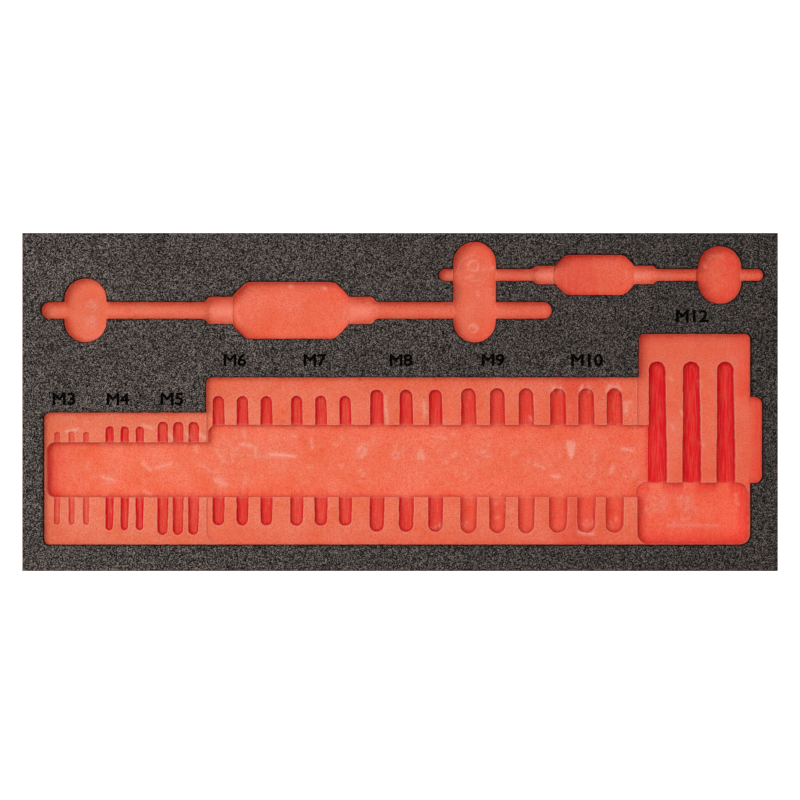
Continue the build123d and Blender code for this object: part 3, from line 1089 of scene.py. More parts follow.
@dataclass
class Solid:
    """A closed mesh under way: points in millimetres, triangles, and a finish for each triangle."""

    points: np.ndarray
    faces: np.ndarray
    finish: np.ndarray
    marks: dict[str, np.ndarray]

    @classmethod
    def under(cls, points: np.ndarray, heights: np.ndarray, faces: np.ndarray, finish: np.ndarray,
              marks: dict[str, np.ndarray], bottom: float) -> "Solid":
        """Closes a top surface with upright walls and a level underside.

        Args:
            points: the plan's points.
            heights: the top's height at each of them.
            faces: the top's triangles.
            finish: the finish number of each triangle.
            marks: values of each point, by attribute name.
            bottom: the underside's height.

        Returns:
            The solid.
        """
        rim = outer_edges(faces)
        ids = np.unique(rim)
        lower = {int(old): len(points) + k for k, old in enumerate(ids)}
        below = np.array([[lower[int(a)], lower[int(b)]] for a, b in rim])
        walls = np.concatenate([
            np.stack([rim[:, 1], rim[:, 0], below[:, 0]], axis=1),
            np.stack([rim[:, 1], below[:, 0], below[:, 1]], axis=1),
        ])
        sheet = PlanMesh()
        sheet.points, sheet.count = [points[ids]], len(ids)
        number = {int(old): k for k, old in enumerate(ids)}
        sheet.edges = [(number[int(a)], number[int(b)]) for a, b in rim]
        cap_points, cap_faces = sheet.triangles()
        inside = cls.on_the_foam_side(cap_points, cap_faces, points, rim)
        cap_faces = cap_faces[inside][:, ::-1] + len(points) + len(ids)
        all_points = np.vstack([
            np.column_stack([points, heights]),
            np.column_stack([points[ids], np.full(len(ids), bottom)]),
            np.column_stack([cap_points, np.full(len(cap_points), bottom)]),
        ])
        extra = len(ids) + len(cap_points)
        return cls(all_points, np.vstack([faces, walls, cap_faces]),
                   np.concatenate([finish, np.zeros(len(walls) + len(cap_faces), int)]),
                   {name: np.concatenate([values, np.zeros(extra)]) for name, values in marks.items()})

    def joined(self, points: np.ndarray, faces: np.ndarray, marks: dict[str, np.ndarray]) -> "Solid":
        """Adds a second shape to the same piece.

        Args:
            points: its points.
            faces: its triangles.
            marks: values of each of its points, by attribute name, which are 0 where none are given.

        Returns:
            Both in one.
        """
        return Solid(
            np.vstack([self.points, points]), np.vstack([self.faces, faces + len(self.points)]),
            np.concatenate([self.finish, np.full(len(faces), Cut.WORKED.value)]),
            {name: np.concatenate([values, marks.get(name, np.zeros(len(points)))])
             for name, values in self.marks.items()})

    @staticmethod
    def on_the_foam_side(points: np.ndarray, faces: np.ndarray, rim_points: np.ndarray,
                         rim: np.ndarray) -> np.ndarray:
        """Tells which of a cap's triangles lie inside the rim, by the crossings of a ray from each."""
        centres = points[faces].mean(axis=1)
        start, end = rim_points[rim[:, 0]], rim_points[rim[:, 1]]
        rise = np.where(end[:, 1] == start[:, 1], TINY, end[:, 1] - start[:, 1])
        inside = np.zeros(len(centres), bool)
        batch = 400
        for k in range(0, len(centres), batch):
            x, y = centres[k:k + batch, 0][:, None], centres[k:k + batch, 1][:, None]
            crosses = (start[:, 1] > y) != (end[:, 1] > y)
            crossing = start[:, 0] + (y - start[:, 1]) * (end[:, 0] - start[:, 0]) / rise
            inside[k:k + batch] = (crosses & (x < crossing)).sum(axis=1) % 2 == 1
        return inside

    def mesh(self, name: str) -> bpy.types.Mesh:
        """Writes the solid as a Blender mesh in metres, in which points within ten times MERGE are one."""
        keys = np.round(self.points / MERGE / 10).astype(np.int64)
        _, first, back = np.unique(keys, axis=0, return_index=True, return_inverse=True)
        back = back.reshape(-1)
        faces = back[self.faces]
        good = (faces[:, 0] != faces[:, 1]) & (faces[:, 1] != faces[:, 2]) & (faces[:, 2] != faces[:, 0])
        mesh = bpy.data.meshes.new(name)
        mesh.from_pydata((self.points[first] * MM).tolist(), [], faces[good].tolist())
        mesh.polygons.foreach_set("material_index", self.finish[good].astype(np.int32))
        for mark, values in self.marks.items():
            attribute = mesh.attributes.new(mark, "FLOAT", "POINT")
            attribute.data.foreach_set("value", values[first].astype(np.float32))
        mesh.validate()
        mesh.update()
        return mesh


# --------------------------------------------------------------------------------------------------------- finishes
class Cut(Enum):
    """How a surface was cut, which is its number among a piece's materials."""

    PLAIN = 0
    WORKED = 1                      # engraved in the face sheet, torn up from the core


@dataclass(frozen=True)
class BlackFoam:
    """Black polyethylene foam, split: each cut cell is a dark pit or a pale glint, which peppers it warm grey.

    The real cells are 0.3 mm across, too fine to show, so they are drawn coarser. Its glints are painted brighter
    on its left than on its right, as painted light that falls off to the right, and faint random clouds dull them.
    """

    name: str = "black polyethylene foam"
    pit: str = "#0b0908"
    glint: str = "#baaba4"
    # painted shade: near black round the openings' edges, where the cut walls fall into shade
    rim: str = "#040303"
    cell_mm: float = 0.4
    relief_mm: float = 0.2
    cloud_mm: float = 30.0
    half_length_mm: float = 210.0
    glint_rarity: float = 3.4       # the higher, the fewer cells shine
    # painted light: how strongly the glints show at the left end, and at the right end below
    painted_light_left: float = 0.79
    painted_light_right: float = 0.47

    def material(self) -> bpy.types.Material:
        """Builds the material."""
        material, tree, place = new_material(self.name)
        cells = add_node(tree, "ShaderNodeTexVoronoi", {"feature": "F1"},
                         {"Vector": place, "Scale": 1 / (self.cell_mm * MM), "Randomness": 1.0})
        tone = add_node(tree, "ShaderNodeSeparateColor", inputs={"Color": cells.outputs["Color"]})
        skewed = add_node(tree, "ShaderNodeMath", {"operation": "POWER"},
                          {0: tone.outputs["Red"], 1: self.glint_rarity})
        along = add_node(tree, "ShaderNodeSeparateXYZ", inputs={"Vector": place})
        # painted light, falling off from the left end to the right end
        paler_amount = add_node(tree, "ShaderNodeMapRange", inputs={
            "Value": along.outputs["X"], "From Min": -self.half_length_mm * MM,
            "From Max": self.half_length_mm * MM, "To Min": self.painted_light_left, "To Max": self.painted_light_right})
        cloud = add_node(tree, "ShaderNodeTexNoise", inputs={
            "Vector": place, "Scale": 1 / (self.cloud_mm * MM), "Detail": 2.0})
        clouds = add_node(tree, "ShaderNodeMapRange", inputs={
            "Value": cloud.outputs["Fac"], "From Min": 0.35, "From Max": 0.65, "To Min": 0.82, "To Max": 1.0})
        painted_light_and_clouds = add_node(tree, "ShaderNodeMath", {"operation": "MULTIPLY"},
                        {0: paler_amount.outputs["Result"], 1: clouds.outputs["Result"]})
        glinting = add_node(tree, "ShaderNodeMath", {"operation": "MULTIPLY"},
                            {0: skewed.outputs[0], 1: painted_light_and_clouds.outputs[0]})
        peppered = add_node(tree, "ShaderNodeMix", {"data_type": "RGBA"},
                            {0: glinting.outputs[0], 6: linear(self.pit), 7: linear(self.glint)})
        # painted shade round the openings' edges
        rim = add_node(tree, "ShaderNodeAttribute", {"attribute_name": "rim"})
        colour = add_node(tree, "ShaderNodeMix", {"data_type": "RGBA"},
                          {0: rim.outputs["Fac"], 6: peppered.outputs[2], 7: linear(self.rim)})
        bump = add_node(tree, "ShaderNodeBump", inputs={
            "Strength": 0.4, "Distance": self.relief_mm * MM, "Height": cells.outputs["Distance"]})
        surface = add_node(tree, "ShaderNodeBsdfPrincipled", inputs={
            "Base Color": colour.outputs[2], "Roughness": 0.9, "Specular IOR Level": 0.06,
            "Normal": bump.outputs["Normal"]})
        add_node(tree, "ShaderNodeOutputMaterial", inputs={"Surface": surface.outputs["BSDF"]})
        return material


@dataclass(frozen=True)
class EngravedFoam:
    """The same foam where the engraving cutter went: heat closed its cells, so it is even and darker."""

    name: str = "heat-closed black foam"
    body: str = "#030202"
    worn: str = "#151110"
    grain_mm: float = 0.9

    def material(self) -> bpy.types.Material:
        """Builds the material."""
        material, tree, place = new_material(self.name)
        grain = add_node(tree, "ShaderNodeTexNoise", inputs={
            "Vector": place, "Scale": 1 / (self.grain_mm * MM), "Detail": 2.0})
        worn = add_node(tree, "ShaderNodeMapRange", inputs={
            "Value": grain.outputs["Fac"], "From Min": 0.5, "From Max": 0.7})
        colour = add_node(tree, "ShaderNodeMix", {"data_type": "RGBA"},
                          {0: worn.outputs["Result"], 6: linear(self.body), 7: linear(self.worn)})
        surface = add_node(tree, "ShaderNodeBsdfPrincipled", inputs={
            "Base Color": colour.outputs[2], "Roughness": 0.9, "Specular IOR Level": 0.03})
        add_node(tree, "ShaderNodeOutputMaterial", inputs={"Surface": surface.outputs["BSDF"]})
        return material


@dataclass(frozen=True)
class RedFoam:
    """Red polyethylene foam, milled: it has a fine grain, and it is pale with dust where it tore. Shade is painted
    on it as a deeper red in the slots and troughs, along walls, in chatter grooves and towards its right end, and
    a painted highlight adds to the paleness along the pockets' torn lips and the bottoms of the wrench troughs.
    """

    name: str = "red polyethylene foam"
    body: str = "#ed784e"
    warm: str = "#f59e80"
    # the red of cut cells, also painted as shade towards the right end
    deep: str = "#ec4234"
    # pale of torn foam and dust, also painted on as a highlight along lips and wrench trough bottoms
    torn: str = "#ffc4b2"
    # painted shade: the deeper red where shade falls in slots, troughs, along walls and in chatter grooves
    closed: str = "#e3212e"
    cell_mm: float = 0.6
    relief_mm: float = 0.25
    smear_mm: float = 2.6
    blotch_mm: float = 16.0
    streak_mm: float = 0.8
    streak_squeeze: float = 0.07    # of the streaks' pattern along Y, which draws them out that way
    glow_mm: float = 6.0            # how far red light spreads inside the foam, which keeps its shadows red
    glow_share: float = 0.7
    glow_end: float = 0.4           # how torn the foam is where it stops glowing
    painted_shade_right: float = 0.25      # painted shade: how much redder its right end is, where less light falls
    half_length_mm: float = 210.0

    def material(self) -> bpy.types.Material:
        """Builds the material."""
        material, tree, place = new_material(self.name)
        grain = add_node(tree, "ShaderNodeTexNoise", inputs={
            "Vector": place, "Scale": 1 / (self.cell_mm * MM), "Detail": 3.0, "Roughness": 0.65})
        smear = add_node(tree, "ShaderNodeTexNoise", inputs={
            "Vector": place, "Scale": 1 / (self.smear_mm * MM), "Detail": 4.0, "Roughness": 0.7,
            "Distortion": 0.8})
        blotch = add_node(tree, "ShaderNodeTexNoise", inputs={
            "Vector": place, "Scale": 1 / (self.blotch_mm * MM), "Detail": 2.0})
        paler_amount = add_node(tree, "ShaderNodeMath", {"operation": "ADD"},
                         {0: smear.outputs["Fac"], 1: blotch.outputs["Fac"]})
        dusts = add_node(tree, "ShaderNodeMapRange", inputs={
            "Value": paler_amount.outputs[0], "From Min": 0.6, "From Max": 1.4})
        body = add_node(tree, "ShaderNodeMix", {"data_type": "RGBA"},
                        {0: dusts.outputs["Result"], 6: linear(self.body), 7: linear(self.warm)})
        cut_cells = add_node(tree, "ShaderNodeMapRange", inputs={
            "Value": grain.outputs["Fac"], "From Min": 0.54, "From Max": 0.3, "To Min": 0.0, "To Max": 0.8})
        along = add_node(tree, "ShaderNodeSeparateXYZ", inputs={"Vector": place})
        # painted shade, redder towards the right end, where less light falls
        painted_shade_ramp = add_node(tree, "ShaderNodeMapRange", inputs={
            "Value": along.outputs["X"], "From Min": -self.half_length_mm * MM,
            "From Max": self.half_length_mm * MM, "To Min": 0.0, "To Max": self.painted_shade_right})
        deepened = add_node(tree, "ShaderNodeMath", {"operation": "ADD", "use_clamp": True},
                            {0: cut_cells.outputs["Result"], 1: painted_shade_ramp.outputs["Result"]})
        peppered = add_node(tree, "ShaderNodeMix", {"data_type": "RGBA"},
                            {0: deepened.outputs[0], 6: body.outputs[2], 7: linear(self.deep)})
        stretched = add_node(tree, "ShaderNodeVectorMath", {"operation": "MULTIPLY"},
                             {0: place, 1: (1.0, self.streak_squeeze, 1.0)})
        streak = add_node(tree, "ShaderNodeTexNoise", inputs={
            "Vector": stretched.outputs["Vector"], "Scale": 1 / (self.streak_mm * MM), "Detail": 2.0})
        streaks = add_node(tree, "ShaderNodeMapRange", inputs={
            "Value": streak.outputs["Fac"], "From Min": 0.35, "From Max": 0.65, "To Min": 0.7, "To Max": 1.15})
        # painted shade from the pockets, broken up by the streaks
        smooth = add_node(tree, "ShaderNodeAttribute", {"attribute_name": "smooth"})
        painted_shade_streaked = add_node(tree, "ShaderNodeMath", {"operation": "MULTIPLY", "use_clamp": True},
                          {0: smooth.outputs["Fac"], 1: streaks.outputs["Result"]})
        # the painted shade's deeper red laid over the foam's own colour
        milled = add_node(tree, "ShaderNodeMix", {"data_type": "RGBA"},
                          {0: painted_shade_streaked.outputs[0], 6: peppered.outputs[2], 7: linear(self.closed)})
        torn = add_node(tree, "ShaderNodeAttribute", {"attribute_name": "torn"})
        fray = add_node(tree, "ShaderNodeMapRange", inputs={
            "Value": grain.outputs["Fac"], "From Min": 0.35, "From Max": 0.6, "To Min": 0.35, "To Max": 1.0})
        frayed = add_node(tree, "ShaderNodeMath", {"operation": "MULTIPLY"},
                          {0: torn.outputs["Fac"], 1: fray.outputs["Result"]})
        colour = add_node(tree, "ShaderNodeMix", {"data_type": "RGBA"},
                          {0: frayed.outputs[0], 6: milled.outputs[2], 7: linear(self.torn)})
        glowing = add_node(tree, "ShaderNodeMapRange", inputs={
            "Value": torn.outputs["Fac"], "From Max": self.glow_end, "To Min": self.glow_share,
            "To Max": 0.0})
        bump = add_node(tree, "ShaderNodeBump", inputs={
            "Strength": 0.45, "Distance": self.relief_mm * MM, "Height": grain.outputs["Fac"]})
        surface = add_node(tree, "ShaderNodeBsdfPrincipled", inputs={
            "Base Color": colour.outputs[2], "Roughness": 0.9, "Specular IOR Level": 0.1,
            "Subsurface Weight": glowing.outputs["Result"], "Subsurface Radius": (1.0, 0.12, 0.1),
            "Subsurface Scale": self.glow_mm * MM, "Normal": bump.outputs["Normal"]})
        add_node(tree, "ShaderNodeOutputMaterial", inputs={"Surface": surface.outputs["BSDF"]})
        return material


# ------------------------------------------------------------------------------------------------------- the pieces
@dataclass
class FaceSheet:
    """The black sheet: its top with the engraved marks, its openings and its upright cut edges."""

    plan: InlayPlan
    pockets: list[Pocket]
    marks: SizeMarks
    edge_round: float = 0.6
    edge_angles: tuple[float, ...] = (0, 28, 52, 72, 90)    # where the rounded edge has points
    # how far from an opening the painted shade reaches
    painted_shade_width: float = 0.75
    mark_wall: float = 0.03         # half the width of the steep wall round a mark
    mark_reach: float = 0.02        # how far from a mark the engraved finish still is
    border_step: float = 3.0
    margin: float = 1.0             # how far the lattice stays from the border
    point_step: float = 1.6
    point_room: float = 0.6         # how far the lattice stays from other lines, in steps
    seed: int = 3

    def solid(self) -> Solid:
        """Cuts the sheet out."""
        half_length, half_width = self.plan.length / 2, self.plan.width / 2
        border = Outline([rectangle(-half_length, -half_width, half_length, half_width, [0, 0, 0, 0],
                                    self.border_step)])
        words = self.marks.outline(self.plan)
        sheet = PlanMesh()
        for offset in [self.edge_round * (1 - math.cos(math.radians(a))) for a in self.edge_angles]:
            for ring in border.rings(-offset):
                sheet.add_line(ring, True)
            for pocket in self.pockets:
                for ring in pocket.outline.rings(offset):
                    sheet.add_line(ring, True)
        for offset in (self.mark_wall, -self.mark_wall):
            for ring in words.rings(offset):
                sheet.add_line(ring, True)
        x, y = half_length - self.margin, half_width - self.margin
        free = lattice(-x, -y, x, y, self.point_step, self.seed)
        away = np.minimum(self.to_openings(free), np.abs(words.distance(free)))
        sheet.add_points(free[away > self.point_room * self.point_step + self.edge_round / 2])
        points, faces = sheet.triangles()
        centres = points[faces].mean(axis=1)
        faces = faces[self.to_openings(centres) > 0]
        to_opening = self.to_openings(points)
        to_edge = np.minimum(to_opening, -border.distance(points))
        heights = self.plan.top - rounded_drop(np.maximum(to_edge, 0), self.edge_round)
        heights[words.distance(points) < 0] -= self.marks.depth
        engraved = words.distance(points[faces].mean(axis=1)) < self.mark_reach
        finish = np.where(engraved, Cut.WORKED.value, Cut.PLAIN.value)
        # painted shade, darkest at an opening's edge
        rim = np.clip(1 - to_opening / self.painted_shade_width, 0, 1)
        return Solid.under(points, heights, faces, finish, {"rim": rim}, self.plan.core_thickness)

    def to_openings(self, points: np.ndarray) -> np.ndarray:
        """Measures how far each point is from the nearest opening, below zero inside one."""
        nearest = np.full(len(points), FAR)
        for pocket in self.pockets:
            nearest = np.minimum(nearest, pocket.outline.distance(points))
        return nearest


@dataclass(frozen=True)
class TornFoam:
    """Shreds that the cutters tore up and left on the red foam, each in a smear of pale dust."""

    # x, y, run in x, run in y, strength
    strokes: tuple[tuple[float, float, float, float, float], ...] = (
        (-144.7, -34.2, 4.4, -4.2, 0.8), (-137.5, -37.2, 8.1, 2.5, 0.8), (-167.2, -42.2, 6.4, -1.9, 0.8),
        (-143.9, -50, 3.9, -1.7, 0.6), (-111.9, -35.8, 4.7, -1.9, 0.5), (-108.3, -38.9, 5.3, -0.3, 0.5),
        (-104.2, -43.6, 6.4, -2.8, 0.9), (-101.4, -42.8, 0.6, -4.4, 0.7), (-86.4, -41.4, -1.1, -4.2, 0.5),
        (-73.1, -29.4, 13.6, -1, 1), (-70, -28.9, 5.6, -0.8, 0.8), (-89.4, -23.7, 5.9, -1.1, 0.8),
        (-87.8, -16.1, 0.3, -3.3, 0.6), (-81.4, -25.8, 0.3, -5, 0.6), (-85.6, -30, 11.1, -0.6, 0.35),
        (-99.4, -19.4, 4.4, -5, 0.35), (-49.7, -21.4, 0.4, -4.2, 0.6), (-23.3, -27.8, 1.7, 2.8, 0.7),
        (-21.7, -25, 2.5, -1.7, 0.6), (-19.2, -26.7, -2.5, -4.2, 0.7), (-4.4, -30, 1.9, 2.2, 0.6),
        (-2.2, -27.8, 1.9, -2.2, 0.5), (-0.6, -30.6, -2.5, -1.1, 0.5), (10.3, -31.7, 1.7, 4.4, 0.7),
        (11.9, -27.2, 1.1, -5, 0.7), (19.4, -19.4, 6.1, -1, 0.5), (30, -30, 1.7, 1.7, 0.6),
        (45.3, -28.3, 3.6, 0.7, 0.5), (62.2, -29.4, 3.1, 1.1, 0.4), (75.6, -35, 5, -1.9, 0.6),
        (85.6, -41.7, 3.9, -0.3, 0.9), (94.4, -23.1, 1.7, -8.1, 1), (96.1, -22.8, 0.2, -8.3, 1),
        (97.9, -23.6, -1.3, -6.9, 1), (119.7, -36.1, -1.1, -3.6, 0.7), (125, -26.2, 5.8, -1.1, 0.8),
        (109, -27.2, 0.4, -5.6, 0.35), (-185.8, -16.4, 5.3, 1, 0.8), (-143.3, -13, 4.7, -1.6, 0.8),
        (125.6, -0.6, 2.8, 0.6, 0.8), (125.9, -0.6, 0.4, -5, 0.8), (127.5, -1.1, -0.8, -2.8, 0.6),
        (13.3, 0, 0.6, -7.8, 0.6), (14.7, -5.6, -1.1, -2.8, 0.6), (73.1, -8.3, 0.8, -2.2, 0.6),
        (100.3, -72.9, 7.8, -1, 0.8), (101.7, -73.6, 5, -0.5, 0.7), (-8.3, 3.3, 1, -15.6, 0.7),
        (-7.2, -3.9, 0.3, -8.3, 0.5), (85.2, 6.1, 0.8, 2.6, 0.9), (90.3, 6.1, -0.9, 2.3, 0.8),
        (86.7, 8.3, 2.2, -0.6, 0.5), (100.8, 6.1, 0.8, 2.6, 0.9), (106.1, 6.1, -0.8, 2.4, 0.8),
        (115.9, 6.7, 1, 2.4, 0.9), (122.8, 6.7, -1.1, 2.3, 0.9), (117.2, 8.9, 4.2, -0.3, 0.7),
        (-129.2, -17.8, 2.2, -2.5, 0.8), (-127.2, -19.7, 0.6, -1.9, 0.6), (-118.9, -17.2, 1.1, -2.8, 0.8),
        (-111.4, -18.1, 2.5, -2.2, 0.8), (150.6, -69.4, 28.3, 0, 0.45), (41.1, 67.8, 5.6, 0.3, 0.45),
        (37.2, 70, 2.8, 0.6, 0.6), (43.3, 61.7, 0.6, -2.2, 0.5), (40.6, 43.1, 2.8, -1.7, 0.8),
        (42.2, 43.3, 1.3, -2.8, 0.6), (170, 76.9, 1.4, -0.8, 0.9), (-61.8, 65, 1.2, -0.2, 1),
        (-42.8, 63.9, 1.1, -0.2, 1), (172.8, 82.2, 8.3, -0.3, 0.35), (-173.3, 56.7, 2.2, -1.7, 0.5),
        (-172.2, 52.8, 1.7, 2.2, 0.5), (-174.2, 45.6, 2.5, -1.1, 0.6), (-171.7, 47.2, 0.8, -3.6, 0.5),
        (-173.9, 42.8, 2.8, -0.6, 0.4), (157.5, -5, 0.6, -1.7, 0.7), (152.2, -13.1, 0.6, -1.9, 0.6),
        (168.9, -23.1, 0.8, -1.1, 0.6), (167.8, 11.7, 0.6, -2.8, 0.5), (150.8, 13.9, 1.4, -1.7, 0.5),
    )
    # x, y, half length, half width, shreds strewn at random
    patches: tuple[tuple[float, float, float, float, int], ...] = (
        (144.2, -57.5, 5.3, 4.7, 22), (161.9, -57.5, 4.7, 4.7, 16), (188.9, -55, 2.2, 3.3, 5),
        (163.9, -67.8, 22.2, 2.2, 6), (104.7, -68.1, 3.6, 1.9, 8), (119.2, -68.1, 3.1, 1.9, 5),
        (36.7, -68.9, 2.2, 1.7, 4), (20.3, -70, 2.5, 1.1, 4), (63.6, -61.4, 10.8, 6.9, 6),
        (-97.5, -32.2, 6.4, 5.6, 10), (48.9, 73.3, 4.4, 8.3, 4), (-173.1, 55.3, 3.1, 3.1, 7),
        (-172.8, 44.4, 2.8, 3.3, 7), (108.9, -40.6, 24.4, 2.8, 5), (-150, -35, 38.9, 13.9, 14),
        (-44.4, -32.2, 55.6, 16.7, 22), (75, -32.2, 58.3, 16.7, 16), (-30, 50.6, 3.3, 6.1, 5),
    )
    strewn_lengths: tuple[float, float] = (0.5, 1.8)
    strewn_strengths: tuple[float, float] = (0.25, 0.6)
    width: float = 0.6
    crookedness: float = 1.1
    spacing: float = 0.4
    dust_reach: float = 1.2
    dust_end: float = 2.2           # times its reach, where it has faded
    dust_share: float = 0.5
    seed: int = 11

    def rows(self) -> list[tuple[float, ...]]:
        """Lists every shred, those of the patches after the strokes."""
        generator = np.random.default_rng(self.seed)
        rows: list[tuple[float, ...]] = list(self.strokes)
        for x, y, half_length, half_width, count in self.patches:
            for _ in range(count):
                angle, length = generator.uniform(0, math.pi), generator.uniform(*self.strewn_lengths)
                rows.append((x + generator.uniform(-half_length, half_length),
                             y + generator.uniform(-half_width, half_width),
                             length * math.cos(angle), length * math.sin(angle),
                             generator.uniform(*self.strewn_strengths)))
        return rows

    def smear(self, points: np.ndarray) -> np.ndarray:
        """Gives the share of pale dust from 0 to 1 at each point."""
        share = np.zeros(len(points))
        reach = self.dust_end * self.dust_reach
        for x, y, run_x, run_y, strength in self.rows():
            start, end = np.array([[x, y]]), np.array([[x + run_x, y + run_y]])
            low, high = np.minimum(start, end) - reach, np.maximum(start, end) + reach
            near = np.flatnonzero(((points > low) & (points < high)).all(axis=1))
            away = np.abs(Outline.near_distance(points[near], start, end, 0))
            dust = self.dust_share * strength * np.exp(-(away / self.dust_reach) ** 2)
            share[near] = np.maximum(share[near], dust)
        return share

    def shreds(self, floor: Callable[[np.ndarray], np.ndarray],
               finish: bpy.types.Material) -> tuple[np.ndarray, np.ndarray]:
        """Grows every shred along its stroke.

        Args:
            floor: gives the foam's height at points of the plan.
            finish: the material that the shreds get.

        Returns:
            The shreds' points and triangles.
        """
        paths = []
        for x, y, run_x, run_y, _ in self.rows():
            share = np.linspace(0, 1, max(3, round(math.hypot(run_x, run_y) / self.spacing)))[:, None]
            flat = np.array([x, y]) + share * np.array([run_x, run_y])
            paths.append(np.column_stack([flat, floor(flat)]))
        mesh = grown(torn_shred_tree(), wire_mesh(paths, False), {
            "Width": self.width * MM, "Spacing": self.spacing * MM, "Crookedness": self.crookedness * MM,
            "Seed": self.seed, "Finish": finish})
        mesh.calc_loop_triangles()
        points = np.array([tuple(vertex.co) for vertex in mesh.vertices]) / MM
        faces = np.array([tuple(triangle.vertices) for triangle in mesh.loop_triangles])
        bpy.data.meshes.remove(mesh)
        return points, faces


@dataclass
class CoreBlock:
    """The red block with every pocket milled into it, and the torn lips round the mouths, with a painted highlight.
    """

    plan: InlayPlan
    pockets: list[Pocket]
    torn: TornFoam
    lip_round: float = 0.35
    lip_width: float = 0.8
    # pale of the lip: torn foam, and a painted highlight where the lip's edge catches light
    lip_paleness: float = 0.3
    lip_rings: tuple[float, ...] = (0.12, 0.35)     # where the lip has points between its ends
    lip_from: float = 1.2           # the least step that has a lip
    wall_lean: float = 0.04         # half of what a wall leans over
    wall_from: float = 1.0          # the least step along which the wall gets painted shade at all
    wall_full: float = 3.0          # the least step along which it gets painted shade fully
    floor_from: float = 1.0         # the least depth of a floor
    ring_height: float = 0.22
    ring_paleness: float = 0.65
    shred_paleness: float = 1.6     # of a shred, against the dust round it
    border_step: float = 6.0
    margin: float = 2.0             # how far the lattice stays from the border
    point_step: float = 1.8
    point_room: float = 0.7         # how far the lattice stays from other lines, in steps
    fine_step: float = 0.45
    fine_room: float = 0.9
    fine_from: float = 0.02         # the least mark or dust that is worth the fine lattice
    seed: int = 5
    fine_seed: int = 7

    def solid(self, finish: bpy.types.Material) -> Solid:
        """Mills the block and leaves the shreds in it.

        Args:
            finish: the torn foam's material.

        Returns:
            The block.
        """
        x, y = self.plan.length / 2, self.plan.width / 2
        block = PlanMesh()
        block.add_line(rectangle(-x, -y, x, y, [0, 0, 0, 0], self.border_step), True)
        for pocket in self.pockets:
            for offset in (-self.wall_lean, self.wall_lean, *self.lip_rings, self.lip_width):
                for ring in pocket.outline.rings(offset):
                    block.add_line(ring, True)
            for line in pocket.guides():
                block.add_line(line, False)
        free = lattice(self.margin - x, self.margin - y, x - self.margin, y - self.margin, self.point_step,
                       self.seed)
        away, inside = self.near_and_inside(free)
        block.add_points(free[(away > self.point_room * self.point_step) & inside])
        fine = lattice(-x, -y, x, y, self.fine_step, self.fine_seed)
        marked = sum(swirl.at(fine) for swirl in self.plan.swirls) + self.torn.smear(fine)
        fine = fine[marked > self.fine_from]
        away, _ = self.near_and_inside(fine)
        block.add_points(fine[away > self.fine_room * self.fine_step])
        points, faces = block.triangles()
        heights, marks = self.surface(points)
        solid = Solid.under(points, heights, faces, np.full(len(faces), Cut.PLAIN.value), marks, 0.0)
        shred_points, shred_faces = self.torn.shreds(lambda plan_points: self.surface(plan_points)[0], finish)
        paleness = np.clip(self.shred_paleness * self.torn.smear(shred_points[:, :2]), 0, 1)
        return solid.joined(shred_points, shred_faces, {"torn": paleness})

    def near_and_inside(self, points: np.ndarray) -> tuple[np.ndarray, np.ndarray]:
        """Measures how far each point is from any outline, and tells whether it is in a pocket."""
        away = np.full(len(points), FAR)
        inside = np.zeros(len(points), bool)
        for pocket in self.pockets:
            distance = pocket.outline.distance(points)
            away = np.minimum(away, np.abs(distance))
            inside |= distance < 0
        return away, inside

    def surface(self, points: np.ndarray) -> tuple[np.ndarray, dict[str, np.ndarray]]:
        """Finds the height that the cutters leave at each point, how torn the foam is there, and how much shade is
        painted on it.

        Args:
            points: points of the plan.

        Returns:
            The heights, the torn share, which holds painted highlight too, and the painted shade share, from 0 to 1.
        """
        heights = np.full(len(points), self.plan.core_thickness)
        above = heights.copy()
        owner = np.full(len(points), -1)
        distances = [pocket.outline.distance(points) for pocket in self.pockets]
        for number, (pocket, distance) in enumerate(zip(self.pockets, distances)):
            inside = np.flatnonzero(distance < 0)
            floor = pocket.floor(points[inside], distance[inside])
            is_deeper = floor < heights[inside]
            above[inside] = np.where(is_deeper, heights[inside], np.minimum(above[inside], floor))
            heights[inside[is_deeper]] = floor[is_deeper]
            owner[inside[is_deeper]] = number
        walled = np.clip((above - heights - self.wall_from) / (self.wall_full - self.wall_from), 0, 1)
        smooth, torn = np.zeros(len(points)), np.zeros(len(points))
        # painted shade from each pocket, and painted light along the wrench troughs' bottoms
        for number, (pocket, distance) in enumerate(zip(self.pockets, distances)):
            own = np.flatnonzero(owner == number)
            smooth[own] = pocket.closed(points[own], distance[own], walled[own])
            torn[own] = pocket.dust(points[own])
        level = heights.copy()
        for pocket, distance in zip(self.pockets, distances):
            near = (distance >= 0) & (distance < self.lip_width) & (level > pocket.mouth() + self.lip_from)
            near &= level < self.plan.core_thickness
            dropped = level[near] - rounded_drop(distance[near], self.lip_round)
            heights[near] = np.minimum(heights[near], dropped)
            # the lip is pale: torn foam, and a painted highlight where its edge catches light
            torn[near] = np.maximum(torn[near], self.lip_paleness * (1 - distance[near] / self.lip_width))
        floors = level < self.plan.core_thickness - self.floor_from
        for swirl in self.plan.swirls:
            ring = np.where(floors, swirl.at(points), 0)
            heights += self.ring_height * ring
            torn = np.maximum(torn, self.ring_paleness * ring)
        torn = np.maximum(torn, np.where(floors, self.torn.smear(points), 0))
        return heights, {"torn": torn, "smooth": smooth}


